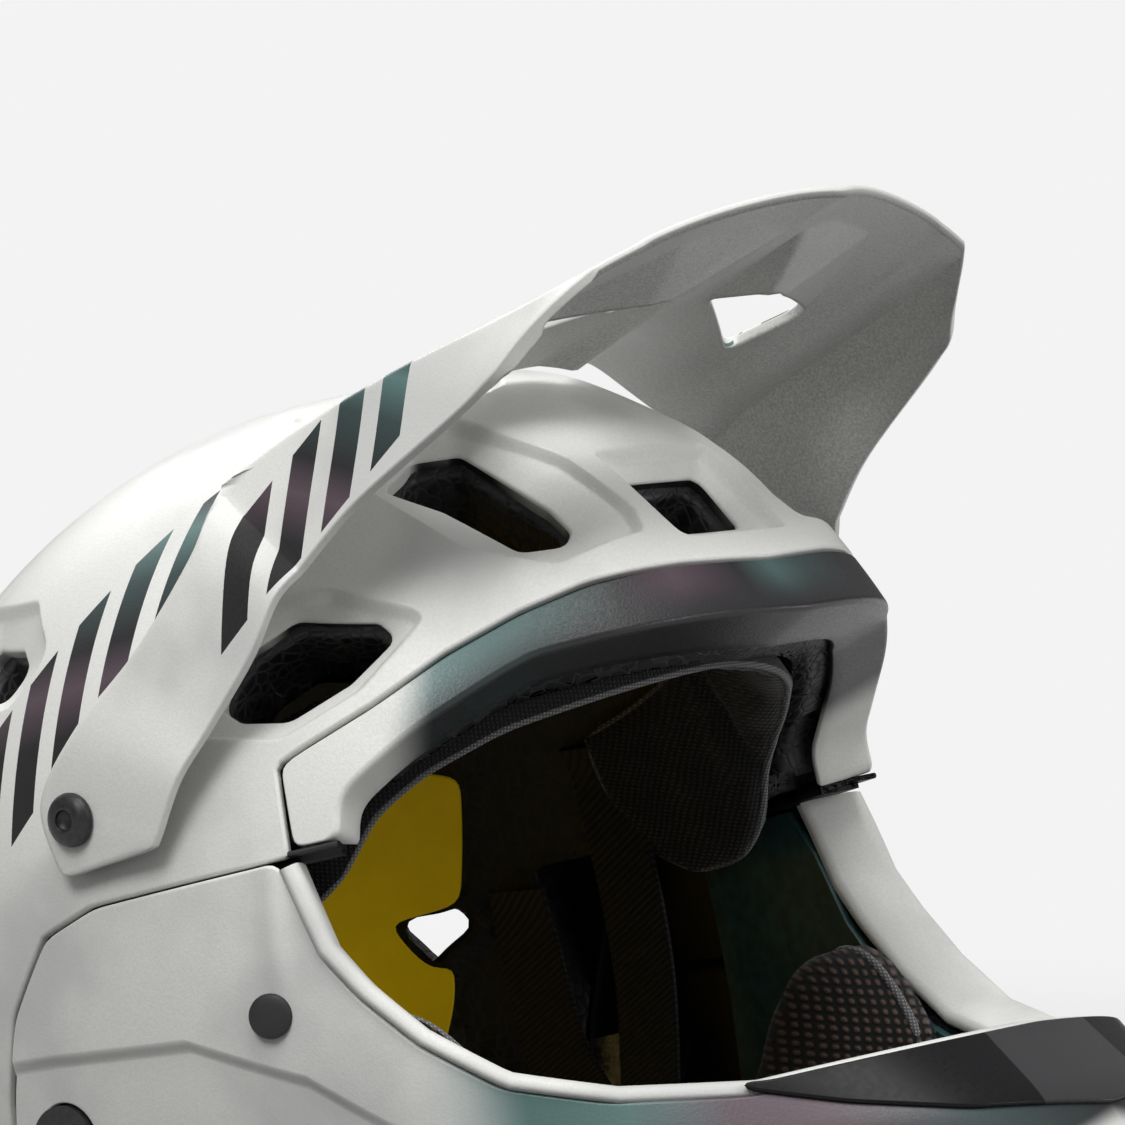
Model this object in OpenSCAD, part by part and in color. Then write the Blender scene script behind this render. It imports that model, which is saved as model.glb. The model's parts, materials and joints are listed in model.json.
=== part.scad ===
// Full-face trail helmet with a tilting peak and a chin bar that releases forwards.
// Millimetres. The helmet faces -Y, +Z is up and the wearer's right is -X.
// It stands on its chin bar and rear neck rim, and the origin is the middle of its footprint.
// Most pieces are drawn about the head centre and then leaned back by stand().

/* [Stance] */
// Nose-up lean of the helmet as it stands, in degrees
lean = 15; // [12:0.5:18]
// Height of the head centre above the floor
head_rise = 80; // [76:0.5:84]
// Distance of the head centre behind the origin
head_back = 29.2; // [20:0.1:30]

/* [Shell] */
// Half width of the shell at the temples
shell_half_width = 114.5; // [108:0.5:120]
// Reach of the shell's surface in front of the head centre
shell_front = 139.5; // [134:0.5:145]
// Reach of the shell behind the head centre
shell_back = 143; // [138:0.5:150]
// Height of the crown above the head centre
shell_top = 133; // [128:0.5:138]
// Depth of the shell's form below the head centre
shell_low = 150; // [144:0.5:158]
// Fullness of the shell's outline at the brow, where 2 is a plain ellipse
brow_form = 2.3; // [2.15:0.05:2.45]
// Fullness of the shell's outline at the back of the head
nape_form = 1.95; // [1.9:0.05:2.1]
// Thickness of the outer shell
shell_wall = 2.6; // [2:0.1:3]
// Height of the seam between the shell and the chin bar
seam_height = 24; // [18:0.5:28]
// Open line between the shell and the pieces that meet it
seam_gap = 0.6; // [0.4:0.1:1]
// Depth of the shallow scoop round each vent
scoop_depth = 4; // [2:0.5:6]

/* [Liner] */
// Thickness of the foam liner
foam_wall = 22; // [18:0.5:24]
// Clearance between layers that lie on each other
layer_gap = 0.3; // [0.2:0.05:0.4]
// Thickness of the slip liner at the back of the head
slip_wall = 1.2; // [0.8:0.1:1.6]
// Thickness of the comfort pads
pad_wall = 7; // [5:0.5:9]

/* [Brow trim] */
// Thickness of the trim band over the brow
trim_wall = 2.4; // [2:0.1:3]
// Depth of the trim's return under the foam
trim_return = 16; // [10:0.5:20]
// Thickness of the trim's return
trim_lip = 2; // [1.5:0.1:3]

// Thickness of the rubber seal between the trim and the chin bar
gasket_wall = 1.6; // [1.2:0.1:2.4]

/* [Chin bar] */
// Reach of the chin bar in front of the head centre
bar_reach = 186; // [180:0.5:192]
// Thickness of the chin bar's outer shell
bar_wall = 3; // [2.5:0.1:3.5]
// Thickness of the chin bar's foam
bar_foam = 11; // [8:0.5:13]
// Thickness of the chin bar's inner shell
bar_lining = 1.6; // [1.2:0.1:2]
// Height of the chin bar at its middle
bar_height = 82; // [78:0.5:86]
// Squareness of the chin bar seen from above
bar_form = 2.1; // [2:0.05:2.2]
// Thickness of the cap along the eyeport rim
rim_cap = 3; // [2.5:0.1:4]

/* [Peak] */
// Thickness of the peak's plate
peak_wall = 3; // [2.5:0.1:3.5]
// Length from the head centre to the peak's front lip
peak_reach = 160; // [154:0.5:166]
// Radius of the round pivot ear of the peak
ear_radius = 13.5; // [12:0.5:15]
// Distance of the pivot axis behind the head centre, square to the lean
pivot_back = -4; // [-6:0.5:-2]
// Height of the pivot axis above the head centre
pivot_rise = 43.5; // [42:0.5:46]
// Radius of the peak screw's shank
screw_radius = 3; // [2.5:0.1:3.5]
// Radial running clearance of the ear on the screw
screw_fit = 0.06; // [0.03:0.01:0.09]
// Radius of the screw's round head
head_radius = 7; // [6:0.5:8]
// Height of the screw's head
head_height = 3.4; // [3:0.1:4]

/* [Fastenings] */
// Thickness of the cheek pads
cheek_pad_wall = 22; // [16:1:24]
// Radius of the round rubber plugs in the chin bar
plug_radius = 5; // [4:0.5:6]
// Radius of the chin bar's release buttons
button_radius = 8.5; // [7:0.5:10]
// Clearance round a release button
button_gap = 0.35; // [0.3:0.05:0.5]
// Travel of a release button
button_travel = 3; // [2:0.5:4]
// Width of the chin strap's webbing
strap_width = 18; // [15:1:20]
// Thickness of the webbing
strap_wall = 1.6; // [1.2:0.1:2]
// Radius of the dial of the fit system
dial_radius = 15; // [12:0.5:18]

/* [Hidden] */

SHELL_WHITE = [0.93, 0.93, 0.91];
FOAM_BLACK = [0.09, 0.09, 0.1];
TRIM_TEAL = [0.3, 0.42, 0.42];
LINER_YELLOW = [0.85, 0.62, 0.05];
PAD_BLACK = [0.13, 0.13, 0.14];
RUBBER = [0.06, 0.06, 0.06];
STEEL = [0.55, 0.56, 0.58];
DARK_METAL = [0.18, 0.18, 0.19];

NEAR = -1;
FAR = 1;
floor_z = 0;
big = 400;

// Leans a piece drawn about the head centre back to the way the helmet stands
module stand() translate([0, head_back, head_rise]) rotate([-lean, 0, 0]) children();

// Cuts whatever reaches below the floor, and leaves a flat foot
module on_floor() {
    difference() {
        children();
        translate([-big / 2, -big / 2, floor_z - big]) cube([big, big, big]);
    }
}

// Height of the floor below the head centre, for a point this far in front of it
function floor_at(front) = -(head_rise + front * sin(lean)) / cos(lean);

// Radius at which a rounded outline is met, from the direction's shares of its half axes
function outline_radius(u, v, n) = pow(pow(abs(u), n) + pow(abs(v), n), -1 / n);

// Fullness of the shell's upright outline at this azimuth
function form_at(az) = nape_form + (brow_form - nape_form) * (1 + cos(az)) / 2;

// Middles of the shallow scoops round the vents, as [azimuth, elevation, half width, half height]
SCOOPS = [[57, 31, 17, 8], [33, 44, 16, 14], [0, 38, 11, 7], [110, 42, 22, 10]];
function scoop(az, el, spread) = scoop_depth * spread * max([for (s = SCOOPS)
    let (q = pow((abs(az) - s[0]) / s[2] / spread, 2) + pow((el - s[1]) / s[3] / spread, 2))
    q < 1 ? 1 - q : 0]);

// A point of the shell's form. Azimuth 0 is the front and grows towards the wearer's right.
// out is the distance outside the shell's surface.
function shell_point(az, el, out = 0) =
    let (
        d = [-sin(az) * cos(el), -cos(az) * cos(el), sin(el)],
        depth = (d[1] < 0 ? shell_front : shell_back) + out,
        rise = (d[2] > 0 ? shell_top : shell_low) + out
    )
    (outline_radius(1 / outline_radius(d[0] / (shell_half_width + out), d[1] / depth, 2),
        d[2] / rise, form_at(az)) - (out > -2.7 ? scoop(az, el, 1) : out > -6 ? scoop(az, el, 1.3) : 0)) * d;

// Half width, as a share, that the shell's form has left at a height z
function shell_share(az, z) =
    let (n = form_at(az))
    pow(max(0.001, 1 - pow(abs(z) / (z > 0 ? shell_top : shell_low), n)), 1 / n);

// Elevation at which the shell's form reaches height z at this azimuth
function shell_el(az, z) =
    let (
        depth = cos(az) > 0 ? shell_front : shell_back,
        r = shell_share(az, z) * outline_radius(sin(az) / shell_half_width, cos(az) / depth, 2)
    )
    atan2(z, r);

// How far the chin bar stands in front of the head centre at height z, from the form of a jaw
rim_drop = 44;
nose_drop = 74;
bar_base = -rim_drop - bar_height;
function bar_front(z) = lookup(z, [
    [bar_base, bar_reach - 30], [bar_base + 14, bar_reach - 13], [-nose_drop - 22, bar_reach - 4],
    [-nose_drop, bar_reach], [-nose_drop + 12, bar_reach - 5], [-rim_drop, bar_reach - 20],
    [-20, bar_reach - 30], [0, bar_reach - 38], [seam_height, shell_front + 2]]);

// A point of the chin bar's form at this azimuth and height
function bar_point(az, z, out = 0) =
    let (
        share = shell_share(az, z),
        depth = (cos(az) > 0 ? bar_front(z) : shell_back * share) + out,
        r = outline_radius(sin(az) / (shell_half_width * share + out), cos(az) / depth, bar_form)
    )
    [-r * sin(az), -r * cos(az), z];

// Values from first to last in this many equal steps
function steps(first, last, count) = [for (i = [0:count]) first + (last - first) * i / count];

function blend(a, b, t) = a + (b - a) * t;

// A smooth curve through hand-set points, with this many steps between neighbours
function smooth(p, n) = concat(
    [for (i = [0:len(p) - 2], k = [0:n - 1])
        let (
            t = k / n,
            a = p[max(i - 1, 0)], b = p[i], c = p[i + 1], d = p[min(i + 2, len(p) - 1)]
        )
        0.5 * (2 * b + (c - a) * t + (2 * a - 5 * b + 4 * c - d) * t * t
            + (3 * b - a - 3 * c + d) * t * t * t)],
    [p[len(p) - 1]]);

// A plate between two grids of points of the same size. kept(i, j) leaves cells out, and
// looped joins the last column to the first. Row by row, the outer grid turns its face out.
module plate(outer, inner, looped = false, kept = function (i, j) true) {
    rows = len(outer);
    cols = len(outer[0]);
    cells = looped ? cols : cols - 1;
    n = rows * cols;
    at = function (i, j) i * cols + j % cols;
    here = function (i, j)
        i >= 0 && i < rows - 1 && (looped || (j >= 0 && j < cells)) && kept(i, (j + cells) % cells);
    skins = [for (i = [0:rows - 2], j = [0:cells - 1]) if (here(i, j))
        let (a = at(i, j), b = at(i, j + 1), c = at(i + 1, j + 1), d = at(i + 1, j))
        each [[a, b, c], [a, c, d], [n + a, n + c, n + b], [n + a, n + d, n + c]]];
    rims = [for (i = [0:rows - 2], j = [0:cells - 1]) if (here(i, j))
        let (a = at(i, j), b = at(i, j + 1), c = at(i + 1, j + 1), d = at(i + 1, j))
        each [
            for (e = [[i - 1, j, a, b], [i, j + 1, b, c], [i + 1, j, c, d], [i, j - 1, d, a]])
                if (!here(e[0], e[1]))
                    each [[e[3], e[2], n + e[2]], [e[3], n + e[2], n + e[3]]]]];
    polyhedron(points = concat([for (r = outer) each r], [for (r = inner) each r]),
        faces = concat(skins, rims));
}

// A plate that lies on the shell's form, from a grid of [azimuth, elevation]
module shell_plate(grid, out, depth) {
    plate([for (r = grid) [for (p = r) shell_point(p[0], p[1], out)]],
        [for (r = grid) [for (p = r) shell_point(p[0], p[1], out - depth)]]);
}

// A soft pad on the shell's form: full in the middle, drawn in to an edge at its rim
function pad_fill(u, v) = pow(max(0, 1 - pow(abs(2 * u - 1), 4)), 0.5)
    * pow(max(0, 1 - pow(abs(2 * v - 1), 4)), 0.5);

module shell_pad(az0, az1, el0, el1, out, depth, cols, rows) {
    edge = 0.3;
    grid = [for (v = steps(0, 1, rows)) [for (u = steps(0, 1, cols))
        [blend(az0, az1, u), blend(el0(blend(az0, az1, u)), el1(blend(az0, az1, u)), v), u, v]]];
    plate([for (r = grid) [for (p = r) shell_point(p[0], p[1], out)]],
        [for (r = grid) [for (p = r)
            shell_point(p[0], p[1], out - depth * (edge + (1 - edge) * pad_fill(p[2], p[3])))]]);
}

// A closed bowl on the shell's form above an edge, which is a function of azimuth
module shell_bowl(azimuths, edge, out, depth, rows) {
    top = 88;
    grid = [for (i = [0:rows]) [for (a = azimuths) [a, blend(edge(a), top, i / rows)]]];
    outer = [for (r = grid) [for (p = r) shell_point(p[0], p[1], out)]];
    inner = [for (r = grid) [for (p = r) shell_point(p[0], p[1], out - depth)]];
    cols = len(azimuths);
    last = rows * cols;
    n = (rows + 1) * cols;
    next = function (j) (j + 1) % cols;
    polyhedron(
        points = concat([for (r = outer) each r], [for (r = inner) each r],
            [shell_point(0, 90, out), shell_point(0, 90, out - depth)]),
        faces = concat(
            [for (i = [0:rows - 1], j = [0:cols - 1])
                let (a = i * cols + j, b = i * cols + next(j), c = b + cols, d = a + cols)
                each [[a, b, c], [a, c, d], [n + a, n + c, n + b], [n + a, n + d, n + c]]],
            [for (j = [0:cols - 1]) each [
                [last + j, last + next(j), 2 * n],
                [n + last + next(j), n + last + j, 2 * n + 1],
                [next(j), j, n + j], [next(j), n + j, n + next(j)]]]));
}

// Azimuth at which the brow trim ends in the pillar beside the eyeport
pillar_az = 63;
foam_out = -shell_wall - layer_gap - 0.3;
liner_face = foam_out - foam_wall;
// Room for the flats of the foam's coarse faces
facet_room = 1.6;
slip_out = liner_face - layer_gap - facet_room;
pad_out = slip_out;

// Lower edge of the shell over the brow, as elevations by azimuth
function brow_seam(a) = lookup(a, [[0, 30.3], [13, 31], [25, 31], [33, 30], [42, 28], [51, 25],
    [pillar_az, 22]]);

// Eyeport edge of the brow trim, as elevations by azimuth
function brow_edge(a) = lookup(a, [[0, 23.8], [16, 24.6], [30, 25], [35, 24.6], [47, 21], [54, 17.8],
    [57, 11]]);

// Height of the shell's edge behind the pillar: along the seam, round the chin bar's end
// and along the neck down to the floor
function neck_edge(a, lift) = floor_at(-shell_point(a, -20)[1]) + lift;
function side_edge(a) = lookup(a, [[pillar_az, seam_height], [90, seam_height],
    [98, seam_height - 4], [105, seam_height - 20], [109, seam_height - 38],
    [117, neck_edge(117, 8)], [130, neck_edge(130, 4)], [142, neck_edge(142, 1)],
    [150, neck_edge(150, -1.2)], [165, neck_edge(165, -1.2)], [180, neck_edge(180, -1.2)]]);

function shell_edge(az) =
    let (a = abs(az))
    a <= pillar_az ? brow_seam(a) : shell_el(a, side_edge(a));

// Eyeport rim of the chin bar, as heights by azimuth
function rim_line(a) = lookup(abs(a), [[0, -rim_drop], [25, -rim_drop - 2], [36, -rim_drop + 3],
    [45, -rim_drop + 11], [52, -rim_drop + 24], [57, -rim_drop + 37], [60, seam_height - 21],
    [62.5, seam_height - seam_gap]]);
rim_turn = 1.4;
bar_pillar = pillar_az + 1.2;
bar_end = 116.5;
function bar_top(az) =
    let (a = abs(az))
    a < bar_pillar ? rim_line(max(0, a - rim_turn)) - rim_cap - layer_gap
        : side_edge(a + 0.5) - seam_gap;
function bar_bottom(az) = lookup(abs(az), [[0, bar_base], [20, bar_base + 1], [35, bar_base + 14],
    [50, bar_base + 26], [64, bar_base + 34], [90, bar_base + 40], [105, bar_base + 46],
    [bar_end, neck_edge(bar_end, -2)]]);

// Azimuths round the whole head, closer together where the seam turns
half_round = [for (a = [0:6:60]) a];
half_side = [62, 63, 63.6, 69, 76, 83, 90, 94, 98, 102, 105, 107, 109, 113, 117, 123];
half_back = [for (a = [130:7:179]) a];
half_turn = concat(half_round, half_side, half_back);
whole_turn = concat([for (i = [len(half_turn) - 1:-1:1]) -half_turn[i]], half_turn, [180]);

// Vents of the right half, as corners of [azimuth, elevation], which the left half mirrors
VENT_TEMPLE = [[66, 28.8], [64, 33], [58, 35.7], [49.5, 32], [48.5, 30.8], [53, 28.8], [61, 27.3]];
VENT_UPPER = [[41, 49.8], [37, 51.5], [31, 49.5], [26.3, 40], [25.8, 37], [29.5, 37], [37, 44.8]];
VENT_FRONT = [[5.2, 40.9], [-0.5, 40.9], [-0.5, 36.3], [4.4, 36.3]];
VENT_SIDE = [[119, 46], [103.5, 44], [101, 39.5], [109, 39], [119, 42]];
VENT_TOP = [[24, 72], [14, 60], [22, 59], [48, 70]];
VENT_CROWN = [[160, 72], [150, 56], [161, 51], [168, 66]];
VENT_REAR = [[160, 36], [142, 34], [140, 27], [158, 24]];
VENT_EAR = [[131, 9], [121.5, 9.5], [120, 7.5], [127, 3.8]];
VENTS = [VENT_TEMPLE, VENT_UPPER, VENT_FRONT, VENT_SIDE, VENT_TOP, VENT_CROWN, VENT_REAR, VENT_EAR];
corner_radius = 2;

// Aims a piece's Z axis from the head centre along this azimuth and elevation
module aim(az, el) rotate([0, 0, -az]) rotate([90 - el, 0, 0]) rotate([0, 0, 180]) children();

// One vent's cutter, from this far inside the shell's surface to well outside it
module vent_cutter(corners, inner, radius) {
    hull() {
        for (c = corners)
            aim(c[0], c[1]) translate([0, 0, norm(shell_point(c[0], c[1], inner))])
                cylinder(r = radius, h = 12 - inner, $fn = 8);
    }
}

module both_sides() {
    children();
    mirror([1, 0, 0]) children();
}

shell_edge_at = function (az) shell_edge(az);
module outer_shell() {
    color(SHELL_WHITE) on_floor() stand() difference() {
        shell_bowl(whole_turn, shell_edge_at, 0, shell_wall, 11);
        both_sides() {
            for (v = VENTS) vent_cutter(v, -shell_wall - 9, corner_radius);
            insert_pocket();
        }
    }
}

// Room in the foam for the chin bar's tongue and its catch
module catch_pocket() {
    translate([0, button_back, -button_drop]) mirror([1, 0, 0]) {
        catch_block(0.4);
        translate([tongue_face - tongue_wall - 0.6, -tongue_ahead, -tongue_height / 2 - 0.6])
            cube([tongue_wall + 1.2, tongue_ahead + tongue_behind + 4, tongue_height + 1.2]);
        x_bar(tongue_face - tongue_wall - button_travel - 3, button_out, stem_radius + 1);
    }
}

// Room at the nape for the dial of the fit system
module nape_pocket() {
    pocket = [2 * dial_radius + 6, 24, 60];
    translate([-pocket[0] / 2, cradle_y - 4, guide_z - 6.5 - pocket[2]]) cube(pocket);
}

// The foam stops short of the trim's return at the brow and of the neck trim behind
foam_lift = 3.4;
function foam_edge(az) =
    let (a = abs(az))
    a <= 57 ? max(brow_edge(a) + foam_lift, 17.2)
        : a <= 109 ? max(lookup(a, [[57, 13.5], [60, 12.6], [61, 12.6]]), shell_edge(a)) + 0.4
        : shell_edge(a) + 5;

foam_half = [0, 10, 20, 30, 40, 50, 57, 60, 64, 77, 90, 98, 105, 109, 117, 130, 143, 156, 168];
foam_turn = concat(both_ways(foam_half), [180]);

module foam_liner() {
    edge = function (az) foam_edge(az);
    color(FOAM_BLACK) stand() difference() {
        shell_bowl(foam_turn, edge, foam_out, foam_wall, 8);
        both_sides() {
            for (v = VENTS) vent_cutter(v, -foam_wall - 20, 0.5);
            insert_pocket();
            catch_pocket();
        }
        nape_pocket();
    }
}

// The band over the eyeport: a face flush with the shell and a return under the foam
module brow_trim() {
    columns = [for (a = [-57:6:57]) a];
    band = [for (a = columns)
        let (
            low = brow_edge(abs(a)), high = brow_seam(abs(a)) - 0.6,
            lip = trim_lip * 0.45
        )
        [shell_point(a, high, -trim_wall), shell_point(a, low + lip, -trim_wall),
            shell_point(a, low + lip, -trim_return), shell_point(a, low, -trim_return),
            shell_point(a, low, -0.1), shell_point(a, high, -0.1)]];
    color(TRIM_TEAL) stand() union() {
        sweep(band);
        both_sides() pillar_block();
    }
}

// The block at the temple, between the eyeport and the shell's seam
module pillar_block() {
    foot = shell_el(60, seam_height + gasket_wall + 0.1);
    grid = [for (e = steps(foot, brow_seam(60) - 0.4, 3)) [for (a = steps(56, pillar_az - 0.4, 2))
        [a, e]]];
    shell_plate(grid, -0.1, trim_wall);
    cheek = [for (e = steps(foot, 16, 2)) [for (a = steps(56, 58, 1)) [a, e]]];
    shell_plate(cheek, -0.1, trim_return);
}

// A closed solid through a row of sections, each a loop of as many points
module sweep(sections, closed = false) {
    n = len(sections[0]);
    m = len(sections);
    spans = closed ? m : m - 1;
    at = function (i, k) (i % m) * n + k % n;
    sides = [for (i = [0:spans - 1], k = [0:n - 1])
        let (a = at(i, k), b = at(i + 1, k), c = at(i + 1, k + 1), d = at(i, k + 1))
        each [[a, b, c], [a, c, d]]];
    ends = closed ? [] : [[for (k = [0:n - 1]) k], [for (k = [n - 1:-1:0]) (m - 1) * n + k]];
    polyhedron(points = [for (s = sections) each s], faces = concat(sides, ends));
}

// The edging round the neck, under the foam
module neck_trim() {
    around = [for (a = [119:6:241]) a];
    grid = [for (k = [0, 1]) [for (a = around)
        let (b = a > 180 ? a - 360 : a) [b, shell_edge(b) + (k == 0 ? -0.4 : 3.4)]]];
    color(RUBBER) on_floor() stand() difference() {
        shell_plate(grid, -shell_wall - layer_gap - 0.5, foam_wall);
        nape_pocket();
    }
}

module slip_liner() {
    around = steps(118, 242, 20);
    grid = [for (v = steps(0, 1, 8)) [for (a = around)
        let (b = a > 180 ? a - 360 : a)
        [b, blend(-9 - 6 * sin((a - 118) / 124 * 180), 30 + 22 * sin((a - 118) / 124 * 180), v)]]];
    color(LINER_YELLOW) stand() difference() {
        shell_plate(grid, slip_out, slip_wall);
        both_sides() vent_cutter(VENT_EAR, -foam_wall - 14, 0.5);
        nape_pocket();
    }
}

module crown_pad() {
    low = function (az) 62 - 7 * cos(4 * az);
    ring = [for (a = [-180:12:179]) a];
    color(PAD_BLACK) stand() shell_bowl(ring, low, pad_out - 0.4, pad_wall, 5);
}

module brow_pad() {
    low = function (az) lookup(abs(az), [[0, 26], [40, 24], [54, 19], [60, 7], [66, 1], [72, 2],
        [78, 12], [84, 24]]);
    high = function (az) lookup(abs(az), [[0, 37], [60, 38], [84, 30]]);
    color(PAD_BLACK) stand() shell_pad(-84, 84, low, high, pad_out, pad_wall, 28, 8);
}

// The rubber seal in the seam beside the eyeport
module gasket() {
    low = shell_el(60, seam_height + 1);
    high = shell_el(60, seam_height + gasket_wall - 0.2);
    grid = [for (e = [low, high]) [for (a = steps(57.5, 61.6, 2)) [a, e]]];
    stand() shell_plate(grid, 0.4, trim_return);
}
module gasket_right() { color(RUBBER) gasket(); }
module gasket_left() { color(RUBBER) mirror([1, 0, 0]) gasket(); }

// Where the pivot's metal parts stand, along X from the middle of the helmet
ear_face = shell_half_width + 2.4;
washer_wall = 1.2;
insert_face = ear_face - peak_wall - washer_wall - layer_gap * 2 - 0.7;
insert_length = 14;
insert_radius = 5.5;

module at_pivot() stand() translate([0, pivot_back, pivot_rise]) children();

// A round bar along X on the pivot axis of one side, from one distance to the other
module pivot_bar(side, from, to, r) {
    translate([side * min(from, to), 0, 0]) rotate([0, side * 90, 0])
        cylinder(r = r, h = max(from, to) - min(from, to), $fn = 48);
}

module insert_pocket() {
    translate([0, pivot_back, pivot_rise]) pivot_bar(NEAR, insert_face - insert_length - 1.3,
        shell_half_width + 5, insert_radius + 0.3);
}

module peak_insert(side) {
    flange = 2;
    color(STEEL) at_pivot() difference() {
        union() {
            pivot_bar(side, insert_face - insert_length, insert_face, insert_radius);
            pivot_bar(side, insert_face - flange, insert_face, insert_radius);
        }
        pivot_bar(side, insert_face - insert_length + 2, insert_face + 1, screw_radius + 0.05);
    }
}
module peak_insert_right() { peak_insert(NEAR); }
module peak_insert_left() { peak_insert(FAR); }

module peak_washer(side) {
    color(RUBBER) at_pivot() difference() {
        pivot_bar(side, insert_face + layer_gap, insert_face + layer_gap + washer_wall, ear_radius - 3);
        pivot_bar(side, insert_face, insert_face + washer_wall + 2, screw_radius + screw_fit);
    }
}
module peak_washer_right() { peak_washer(NEAR); }
module peak_washer_left() { peak_washer(FAR); }

module peak_screw(side) {
    head = ear_face + layer_gap;
    socket = 2;
    color(DARK_METAL) at_pivot() difference() {
        union() {
            pivot_bar(side, insert_face - insert_length + 3, head + 1, screw_radius);
            pivot_bar(side, head, head + head_height - 1, head_radius);
            pivot_bar(side, head + 1, head + head_height, head_radius - 1);
        }
        translate([side * (head + head_height - 1.8), 0, 0]) rotate([0, side * 90, 0])
            cylinder(r = socket / cos(30), h = 3, $fn = 6);
    }
}
module peak_screw_right() { peak_screw(NEAR); }
module peak_screw_left() { peak_screw(FAR); }

// The peak's edges on one half, as [sideways, ahead, up] from the pivot axis
stretch = peak_reach - 160;
widen = shell_half_width - 114.5;
PEAK_SPINE = [[0, 160 + stretch, 104], [0, 139 + stretch * 0.7, 99], [0, 113 + stretch * 0.4, 94],
    [0, 88, 89], [0, 70, 85]];
PEAK_CREASE = [[70 + widen, 139 + stretch, 93], [76 + widen, 117 + stretch * 0.7, 87],
    [83 + widen, 87 + stretch * 0.4, 81], [86 + widen, 58, 74], [90 + widen, 36, 66]];
PEAK_LOW = [[71 + widen, 138 + stretch, 91], [86 + widen, 122 + stretch * 0.7, 82],
    [95 + widen, 109 + stretch * 0.4, 71], [98.5 + widen, 82, 52], [102 + widen, 66, 43]];
EAR_BACK = [[90 + widen, 36, 66], [99 + widen, 34, 55], [106 + widen, 26, 43], [112 + widen, 9, 26],
    [ear_face - 0.6, -8, 14], [ear_face, -15, 2], [ear_face, -13, -11]];
EAR_FRONT = [[102 + widen, 66, 43], [106 + widen, 60, 37], [110 + widen, 50, 27],
    [113.5 + widen, 38, 14], [ear_face - 0.6, 22, -3], [ear_face, 8, -13], [ear_face, -5, -13.5]];
PEAK_HOLE = [[25, 102], [37, 105], [60, 93], [54, 83]];
peak_rows = 8;
ear_rows = 12;
peak_half = 7;

function peak_row(spine, crease, low) = [for (j = [-peak_half:peak_half])
    let (
        side = j < 0 ? 1 : -1, k = abs(j), u = min(1, k / 5), bow = 4 * (1 - u * u),
        p = k <= 5 ? blend(spine, crease, u) + [0, bow * 0.6, bow - 4 * (1 - u)]
            : blend(crease, low, (k - 5) / 2)
    )
    [side * p[0], -p[1], p[2]]];

function offset_in(grid, depth) =
    let (m = len(grid) - 1, n = len(grid[0]) - 1)
    [for (i = [0:m]) [for (j = [0:n])
        let (
            across = grid[i][min(j + 1, n)] - grid[i][max(j - 1, 0)],
            along = grid[min(i + 1, m)][j] - grid[max(i - 1, 0)][j],
            up = cross(along, across)
        )
        grid[i][j] - depth * up / norm(up)]];

module peak() {
    spine = smooth(PEAK_SPINE, 2);
    crease = smooth(PEAK_CREASE, 2);
    low = smooth(PEAK_LOW, 2);
    back = smooth(EAR_BACK, 2);
    front = smooth(EAR_FRONT, 2);
    rows = concat([for (i = [0:peak_rows]) peak_row(spine[i], crease[i], low[i])],
        [for (i = [1:ear_rows]) peak_row([0, back[i][1], back[i][2]], back[i], front[i])]);
    kept = function (i, j) i < peak_rows || j < 2 || j >= 2 * peak_half - 2;
    color(SHELL_WHITE) at_pivot() difference() {
        plate(rows, offset_in(rows, peak_wall), false, kept);
        for (side = [NEAR, FAR]) {
            pivot_bar(side, ear_face - peak_wall - 5, ear_face + 5, screw_radius + screw_fit);
            hull() for (c = PEAK_HOLE) translate([side * c[0], -c[1], 60])
                cylinder(r = 3, h = 60, $fn = 24);
        }
    }
}

// Distances into the chin bar from its outer surface
bar_foam_out = -bar_wall - layer_gap - 0.3;
bar_lining_out = bar_foam_out - bar_foam - layer_gap;
bar_pad_out = bar_lining_out - bar_lining - layer_gap - 0.5;
port_columns = concat([for (a = [0:6:48]) a], [51, 54, 57, 59, 61, 62.4]);
bar_columns = concat(port_columns, [63.4, bar_pillar, 70, 77, 84, 90, 94, 98, 102, 105,
    107, 109, 113, bar_end]);
function both_ways(list) = concat([for (i = [len(list) - 1:-1:1]) -list[i]], list);

// A plate on the chin bar's form between two heights, which are functions of azimuth
module bar_plate(columns, low, high, out, depth, rows) {
    grid = [for (v = steps(0, 1, rows)) [for (a = columns) [a, blend(low(a), high(a), v)]]];
    plate([for (r = grid) [for (p = r) bar_point(p[0], p[1], out)]],
        [for (r = grid) [for (p = r) bar_point(p[0], p[1], out - depth)]]);
}

// Vents of the chin bar's right half, as corners of [azimuth, height]
BAR_VENT_NOSE = [[-13, -80], [-11, -98], [11, -98], [13, -80]];
BAR_VENT_SIDE = [[21, -76], [22, -94], [38, -84], [36, -76]];
BAR_VENT_JAW = [[44, -72], [44, -84], [58, -74], [57, -66]];
BAR_VENT_CHEEK = [[66, -62], [66, -74], [80, -66], [79, -58]];

module bar_vent(corners, depth) {
    hull() for (c = corners) translate(bar_point(c[0], c[1], -depth))
        rotate([0, 0, -c[0]]) rotate([90, 0, 0]) cylinder(r = 3, h = depth + bar_reach / 6, $fn = 10);
}

module bar_vents(depth) {
    bar_vent(BAR_VENT_NOSE, depth);
    both_sides() for (v = [BAR_VENT_SIDE, BAR_VENT_JAW, BAR_VENT_CHEEK]) bar_vent(v, depth);
}

// The release button's axis on the chin bar, behind and below the head centre
button_back = 22;
button_drop = 26;
button_out = -bar_point(90 + atan(button_back / shell_half_width), -button_drop)[0];
module at_button(side) stand() translate([0, button_back, -button_drop]) scale_side(side) children();
module scale_side(side) { if (side > 0) children(); else mirror([1, 0, 0]) children(); }

// A round bar along X, from one distance from the middle to another, on the left side
module x_bar(from, to, r) translate([from, 0, 0]) rotate([0, 90, 0]) cylinder(r = r, h = to - from, $fn = 48);

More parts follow.
